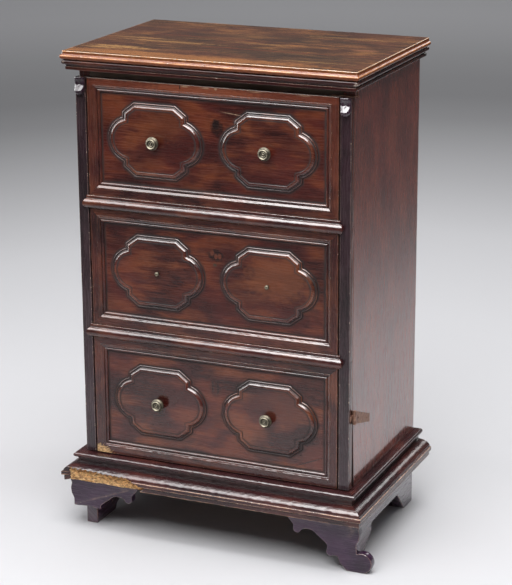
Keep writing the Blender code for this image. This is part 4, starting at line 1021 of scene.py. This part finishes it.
# %% [markdown]
# ## Fields
#
# The fields are the faces of the door's three planks. Each point on them takes a negative bend that
# fades with its distance from the frame and from the two raised panels: partly dirt along the
# mouldings, where no cloth reaches, and partly painted shade beside them.

# %% Fields
LEVEL_WOOD = {"bottom": "low", "lower": "low", "middle": "mid", "top": "top", "upper": "top"}
FIELD_STEP = 1.8 * MM


def shade_and_dirt_by_mouldings(shell, level):
    """Bend = -(0.95 e^(-d / 2.4 mm) + 0.22 e^(-d / 12 mm)), d being the distance to a moulding."""
    place = shell.points[:, [0, 2]]
    low, high = (np.array(corner)[[0, 2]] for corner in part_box("drawer_frame_" + level))
    wide, half_band = FRAME_WIDE * MM, BAND / 2 * MM
    gap = np.minimum(place - (low + wide), high - wide - place).min(1)
    gap = np.maximum(gap, -gap - wide)
    for side in SIDES:
        outline, centre = cartouche_outline("cartouche_" + level + "_" + side)
        line = outline + mitre_steps(outline) * half_band + centre
        reach = np.sqrt(((place[:, None] - line[None]) ** 2).sum(2)).min(1) - half_band
        gap = np.minimum(gap, reach)
    gap = np.maximum(gap, 0.0) / MM
    # The 2.4 mm term is a dark line along each moulding, dirt and painted shade; the 12 mm term is a
    # broad painted shade.
    shade_and_dirt = -(0.95 * np.exp(-gap / 2.4) + 0.22 * np.exp(-gap / 12))
    return shell._replace(bend=np.where(shell.points[:, 1] < FIELD + 1.0 * MM, shade_and_dirt, 0.0))


for level in LEVELS:
    node = "door_plank_" + level
    plank = board(node, 0, 0.6 * MM, FIELD_STEP, FIELD_STEP)
    make_piece(node, [shade_and_dirt_by_mouldings(plank, level)], FIELD_WALNUT,
               inside=(INNER[LEVEL_WOOD[level]], (1, 1)))
say("door_plank")

# %% [markdown]
# ## Dividers
#
# Between the sham drawers lies a beaded rail: a thin fillet above a half-round. It is returned on
# itself at both ends over the stiles, so four stations bend the section round the two corners.

# %% Dividers
bead = arc((1.0, 9.0), (7.5, 8.5), -82, 68, 16)
divider_outline, divider_bend = section(
    [(0.0, 0.0), (1.2, 0.2), *bead, (2.4, 18.0), (3.0, 19.0), (3.0, 21.6), (2.4, 23.0), (0.0, 23.0)],
    [0.0, 0.0] + [0.0] * len(bead) + [0.5, 0.3, 0.6, 0.4, 0.0], 3 * MM)
RUN = 220


def divider(node):
    """Front run from mitre to mitre, x = middle + s (end + out), with a short return at each end.

    A plain core behind it fills the gap between the planks.
    """
    low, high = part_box(node)
    out, up = divider_outline.T
    wall, edge = FRONT - SEAT, 0.2 * MM
    end = (high.x - low.x) / 2 - out.max()
    share = np.concatenate([[-1.0], np.linspace(-1.0, 1.0, RUN), [1.0]])[:, None]
    forward = np.concatenate([[0.0], np.ones(RUN), [0.0]])[:, None]
    points = xyz((low.x + high.x) / 2 + share * (end + out), wall - forward * out, low.z + up)
    along = points[..., 0] + np.sign(share) * (1 - forward) * out
    run = carried(points, along, girth(divider_outline), divider_bend)
    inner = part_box("door_stile_right")[0].x - SEAT
    near, foot, top = wall - 0.5 * MM, low.z + edge, high.z - edge
    core_outline = np.array([(near, foot), (high.y, foot), (high.y, top), (near, top)])
    core = xyz(np.array([[2 * MIDDLE - inner], [inner]]), *core_outline.T)
    return [run, carried(core, core[..., 0], girth(core_outline), 0.0)]


for level in ("upper", "lower"):
    node = "divider_" + level
    make_piece(node, divider(node), MOULDED_WALNUT, nicks=0.06 * MM,
               inside=(INNER[LEVEL_WOOD[level]], (1, 1)))
say("divider")

# %% [markdown]
# ## Consoles
#
# A small carved console tops each stile: a cap, a narrow neck and a bulging tongue with a notch
# above it. It is a height over the stile's face, a sum of soft bumps down and across, and each
# level is a ring that goes across the front and back along the stile.

# %% Consoles
DOWN, WIDE = 46, 25


def console(node):
    """Rise = neck + cap bump + a tongue that swells downwards, less a notch, rounded to both sides."""
    low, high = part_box(node)
    drop = np.linspace(0.0, high.z - low.z, DOWN)[:, None] / MM
    across = np.linspace(-1.0, 1.0, WIDE)[None]
    swell = np.clip((drop - 11.5) / 12.5, 0.0, 1.0)
    under = np.sqrt(1 - np.clip((drop - 24.0) / 7.0, 0.0, 1.0) ** 2)
    cap = 2.8 * np.exp(-((drop - 2.0) / 4.0) ** 2)
    rise = (3.2 + cap + 7.6 * swell ** 2 * (3 - 2 * swell)) * under
    notch = 1.5 * np.exp(-(across / 0.2) ** 2) * np.exp(-((drop - 12.0) / 2.6) ** 2)
    rise = (rise * (1 - 0.32 * across ** 2 - 0.26 * across ** 6) - notch) * MM
    rise = np.clip(rise, 0.4 * MM, high.y - low.y)
    # The bend on the tongue's bulge calls up the finish's pale worn colour: a painted highlight.
    bend = np.clip((rise / MM - 8.5) / 3, 0, 1)
    rise, bend = (np.pad(values, ((0, 0), (0, 2))) for values in (rise, bend))
    below = np.clip((drop - 19.0) / 11.62, 0.0, 1.0)
    half = (high.x - low.x) / 2 * np.sqrt(1 - below ** 2)
    wide = np.append(across, [[1.0, -1.0]], 1)
    points = xyz((low.x + high.x) / 2 + half * wide, high.y - rise, high.z - drop * MM)
    return grained(carried(points, 0.0, np.arange(WIDE + 3) * MM, bend), 2)


for side in SIDES:
    node = "corbel_" + side
    make_piece(node, [console(node)], CONSOLE_WALNUT_PAINTED_HIGHLIGHT[side], sharp=60.0)
say("corbel")

# %% [markdown]
# ## Knobs
#
# The knobs are turned brass: a collar, a waisted stem and a dished head with a small button in it.
# A turned shape is a profile of radius and reach spun about its axis. Two knobs are lost, and their
# broken shanks still stand in the middle drawer.

# %% Turned brass
PANEL_FACE = SEATED - PANEL_RISE * MM


def turned(node, profile, turns=48):
    """Radius and reach spun round the axis: (r cos a, -reach, r sin a) from the panel's face."""
    low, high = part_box(node)
    radius, reach, bend = np.asarray(profile, float).T[..., None]
    radius, reach = radius * MM, reach * MM
    angle = np.linspace(0.0, 2 * np.pi, turns, endpoint=False)
    points = xyz((low.x + high.x) / 2 + radius * np.cos(angle), PANEL_FACE - reach,
                 (low.z + high.z) / 2 + radius * np.sin(angle))
    walk = np.cumsum(np.hypot(np.diff(radius, axis=0), np.diff(reach, axis=0)))
    return carried(points, np.append(0.0, walk)[:, None], np.linspace(0.0, 0.05, turns + 1), bend)


shank_end = (PANEL_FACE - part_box("knob_top_left")[1].y) / MM
SHANK = [(2.4, 0.3, -1), (2.4, shank_end, 0), (0.2, shank_end, 0)]
KNOB = [(0.2, 17.0, 0.7), (1.1, 16.8, 0.7), (1.7, 16.3, 0.2), (2.1, 15.5, -1), (2.7, 15.4, -1),
        (3.2, 15.9, 0.6), (3.9, 16.1, 0.9), (4.5, 15.8, 0.2), (5.0, 15.5, -0.9), (5.6, 15.8, -0.7),
        (6.3, 16.8, 0.2), (6.9, 17.6, 0.8), (7.5, 17.95, 1), (8.1, 17.7, 1), (8.6, 16.9, 0.4),
        (8.8, 15.6, 0), (8.8, 14.8, -0.9), (9.4, 14.3, -0.6), (10.4, 13.4, 0.2), (11.1, 12.4, 0.4),
        (11.5, 11.2, 0.3), (11.4, 10.2, 0), (11.0, 9.2, 0), (10.1, 8.1, 0), (8.9, 7.2, 0),
        (7.2, 6.2, 0), (5.8, 5.4, -0.2), (4.9, 4.8, -0.4), (4.5, 4.2, -0.4), (4.6, 3.8, -0.2),
        (5.1, 3.4, 0), (5.6, 2.9, 0.4), (5.8, 2.2, 0.5), (5.8, 0.3, -0.8)] + SHANK
STUB = [(0.2, 4.3, 0), (1.2, 4.5, 0.3), (2.2, 4.95, 0.6), (2.9, 4.8, 0.6), (3.5, 4.0, 0.3),
        (3.6, 3.0, 0), (3.6, 0.3, -0.8)] + SHANK
for side in SIDES:
    for level in ("top", "bottom"):
        node = "knob_" + level + "_" + side
        make_piece(node, [turned(node, KNOB)], OLD_BRASS)
    node = "knob_stub_" + side
    make_piece(node, [turned(node, STUB, 24)], OLD_BRASS, waviness=0.2 * MM)
say("knob")

# %% [markdown]
# ## Inside, back and hinge
#
# What the door hides is made of plain sawn boards with their edges taken off: the grain runs across
# on shelf, bottom and back, from front to back on the cleats, and upright on the door's battens.
# The irons of the hinge are forged to the shape that their solids have and only get a finish.

# %% Inner boards
for wood, axis, *nodes in (("low", 0, "bottom_board", "back_board_lower"), ("rail", 0, "top_rail"),
                           ("mid", 0, "shelf", "back_board_middle"),
                           ("top", 0, "plinth_back", "back_board_upper"),
                           ("deep", 1, "shelf_cleat_left", "shelf_cleat_right"),
                           ("upright", 2, "door_batten_left", "door_batten_right")):
    for node in nodes:
        make_piece(node, [board(node, axis, 1.6 * MM)], INNER[wood])
say("shelf", "back_board", "door_batten")

# %% Finish of the irons, whose solids stay
IRONS = ("hinge_strap", "hinge_leaf", "hinge_pin", "hinge_nail_front", "hinge_nail_rear",
         "pivot_plate", "pivot_pin")
for node in IRONS:
    frame["nodes"][node].data.materials.clear()
    frame["nodes"][node].data.materials.append(OLD_IRON)
missing = sorted(set(frame["nodes"]) - set(PIECES) - set(IRONS))
print(len(PIECES), "new pieces; solids without a finish:", missing)

# %% [markdown]
# ## Studio
#
# The cabinet stands on a pale floor whose colour is a painted pool of light: lighter near the
# cabinet, darker outwards and paler again far away, and painted dark far in front and off to the
# right, which darkens what the polish reflects. A lamp overhead and a soft box in front of it light
# the wood, and a third one only the floor behind. Four more boxes show in the polish alone: they draw
# the white lines along the mouldings. The floor throws light back up into the polish of the sides.

# %% Floor
FLOOR, FARTHEST = 60.0, 9.0
# Painted light: the floor's colour by distance from a point behind the cabinet stands in for a pool of
# light and its fall-off; painted_light_pool paints it dark far in front and off to the right.
PAINTED_LIGHT_SWEEP = [(0.0, 0.71), (0.5, 0.72), (1.25, 0.685), (1.6, 0.61), (2.1, 0.495), (2.75, 0.34),
         (3.15, 0.295), (3.5, 0.315), (4.0, 0.38), (5.0, 0.57), (5.7, 0.66)]
floor_mesh = bpy.data.meshes.new("floor")
floor_mesh.from_pydata(np.array([(-1, -1, 0), (1, -1, 0), (1, 1, 0), (-1, 1, 0)]) * FLOOR, [],
                       [(0, 1, 2, 3)])
floor = bpy.data.objects.new("floor", floor_mesh)
bpy.context.scene.collection.objects.link(floor)
floor_paint, tree, place = new_finish("pale_sweep")
reach = add(tree, "VectorMath", {0: place, 1: (-0.10, 0.75, 0.0)}, "Value", operation="DISTANCE")
sweep = add(tree, "ValToRGB", {"Fac": add(tree, "MapRange", {"Value": reach, "From Max": FARTHEST})})
set_ramp(sweep, [(far / FARTHEST, (shade, shade, 1.03 * shade)) for far, shade in PAINTED_LIGHT_SWEEP])
apart = add(tree, "SeparateXYZ", {0: place}).socket.node
across, forward, _ = (Wire(tree, socket) for socket in apart.outputs)
aside = across + forward * 0.275
painted_light_pool = forward.smooth(-2.05, -0.6) * aside.smooth(1.9, 0.7)
dress(tree, Base_Color=painted_light_pool.blend((0.19, 0.19, 0.195), sweep), Roughness=0.9, Specular_IOR_Level=0.0)
floor_mesh.materials.append(floor_paint)
print("floor", floor.dimensions[:])

# %% Lights
def soft_light(name, place, aim, size, watts, hidden=None):
    """An oblong area light that looks from its place at a point; size is its width and depth.

    hidden names the kind of ray that doesn't see it.
    """
    lamp = bpy.data.lights.new(name, "AREA")
    lamp.shape = "RECTANGLE"
    lamp.size, lamp.size_y = size
    lamp.energy = watts
    holder = bpy.data.objects.new(name, lamp)
    holder.location = place
    back = np.array(place) - np.array(aim)
    side = np.cross((0.0, 1.0, 0.0), back)
    back, side = unit(np.stack([back, side]))
    turn = Matrix(np.stack([side, np.cross(back, side), back], 1).tolist())
    holder.rotation_euler = turn.to_euler()
    if hidden:
        setattr(holder, "visible_" + hidden, False)
    bpy.context.scene.collection.objects.link(holder)


for lamp in (("overhead", (0.5, 0.1, 3.6), (0.5, 0.1, 0.0), (3.2, 1.8), 85.0),
             ("back_light", (-1.3, 4.2, 3.4), (-1.3, 4.2, 0.0), (3.4, 2.4), 45.0, "glossy"),
             ("soft_box", (0.15, -1.45, 2.75), (0.1, -0.55, 0.4), (2.5, 2.3), 82.0),
             ("gloss_right", (0.15, -1.45, 2.74), (0.1, -0.55, 0.4), (2.5, 2.3), 215.0, "diffuse"),
             ("gloss_left", (-2.3, -1.45, 2.74), (-2.35, -0.55, 0.4), (2.4, 2.3), 150.0, "diffuse"),
             ("gloss_side", (-3.0, -0.1, 1.45), (0.0, -0.1, 0.9), (1.9, 1.8), 120.0, "diffuse"),
             ("gloss_back", (0.51, 2.87, 1.72), (0.28, 0.0, 0.12), (0.6, 0.6), 5.0, "diffuse")):
    soft_light(*lamp)
world = bpy.data.worlds.new("studio")
world.use_nodes = True
world.node_tree.nodes["Background"].inputs["Color"].default_value = (0.12, 0.12, 0.125, 1.0)
bpy.context.scene.world = world
print("lights", [o.name for o in bpy.data.objects if o.type == "LIGHT"])

# %% [markdown]
# ## Camera
#
# The photograph looks down a little from the front right, from about three and a half metres with
# a long lens. The place and turn were worked out from the cabinet's corners in the picture.

# %% Camera
TURN, PITCH, ROLL = np.radians((23.5616, 16.9354, -0.3404))
lens = bpy.data.cameras.new("camera")
lens.lens, lens.sensor_width = 123.92, 36.0
camera = bpy.data.objects.new("camera", lens)
camera.location = (1.36594, -3.11096, 1.4558)
turn = (Matrix.Rotation(TURN, 3, "Z") @ Matrix.Rotation(np.pi / 2 - PITCH, 3, "X")
        @ Matrix.Rotation(ROLL, 3, "Z"))
camera.rotation_euler = turn.to_euler()
bpy.context.scene.collection.objects.link(camera)
bpy.context.scene.camera = camera
bpy.context.scene.view_settings.view_transform = "Standard"
print("camera", camera.location[:])
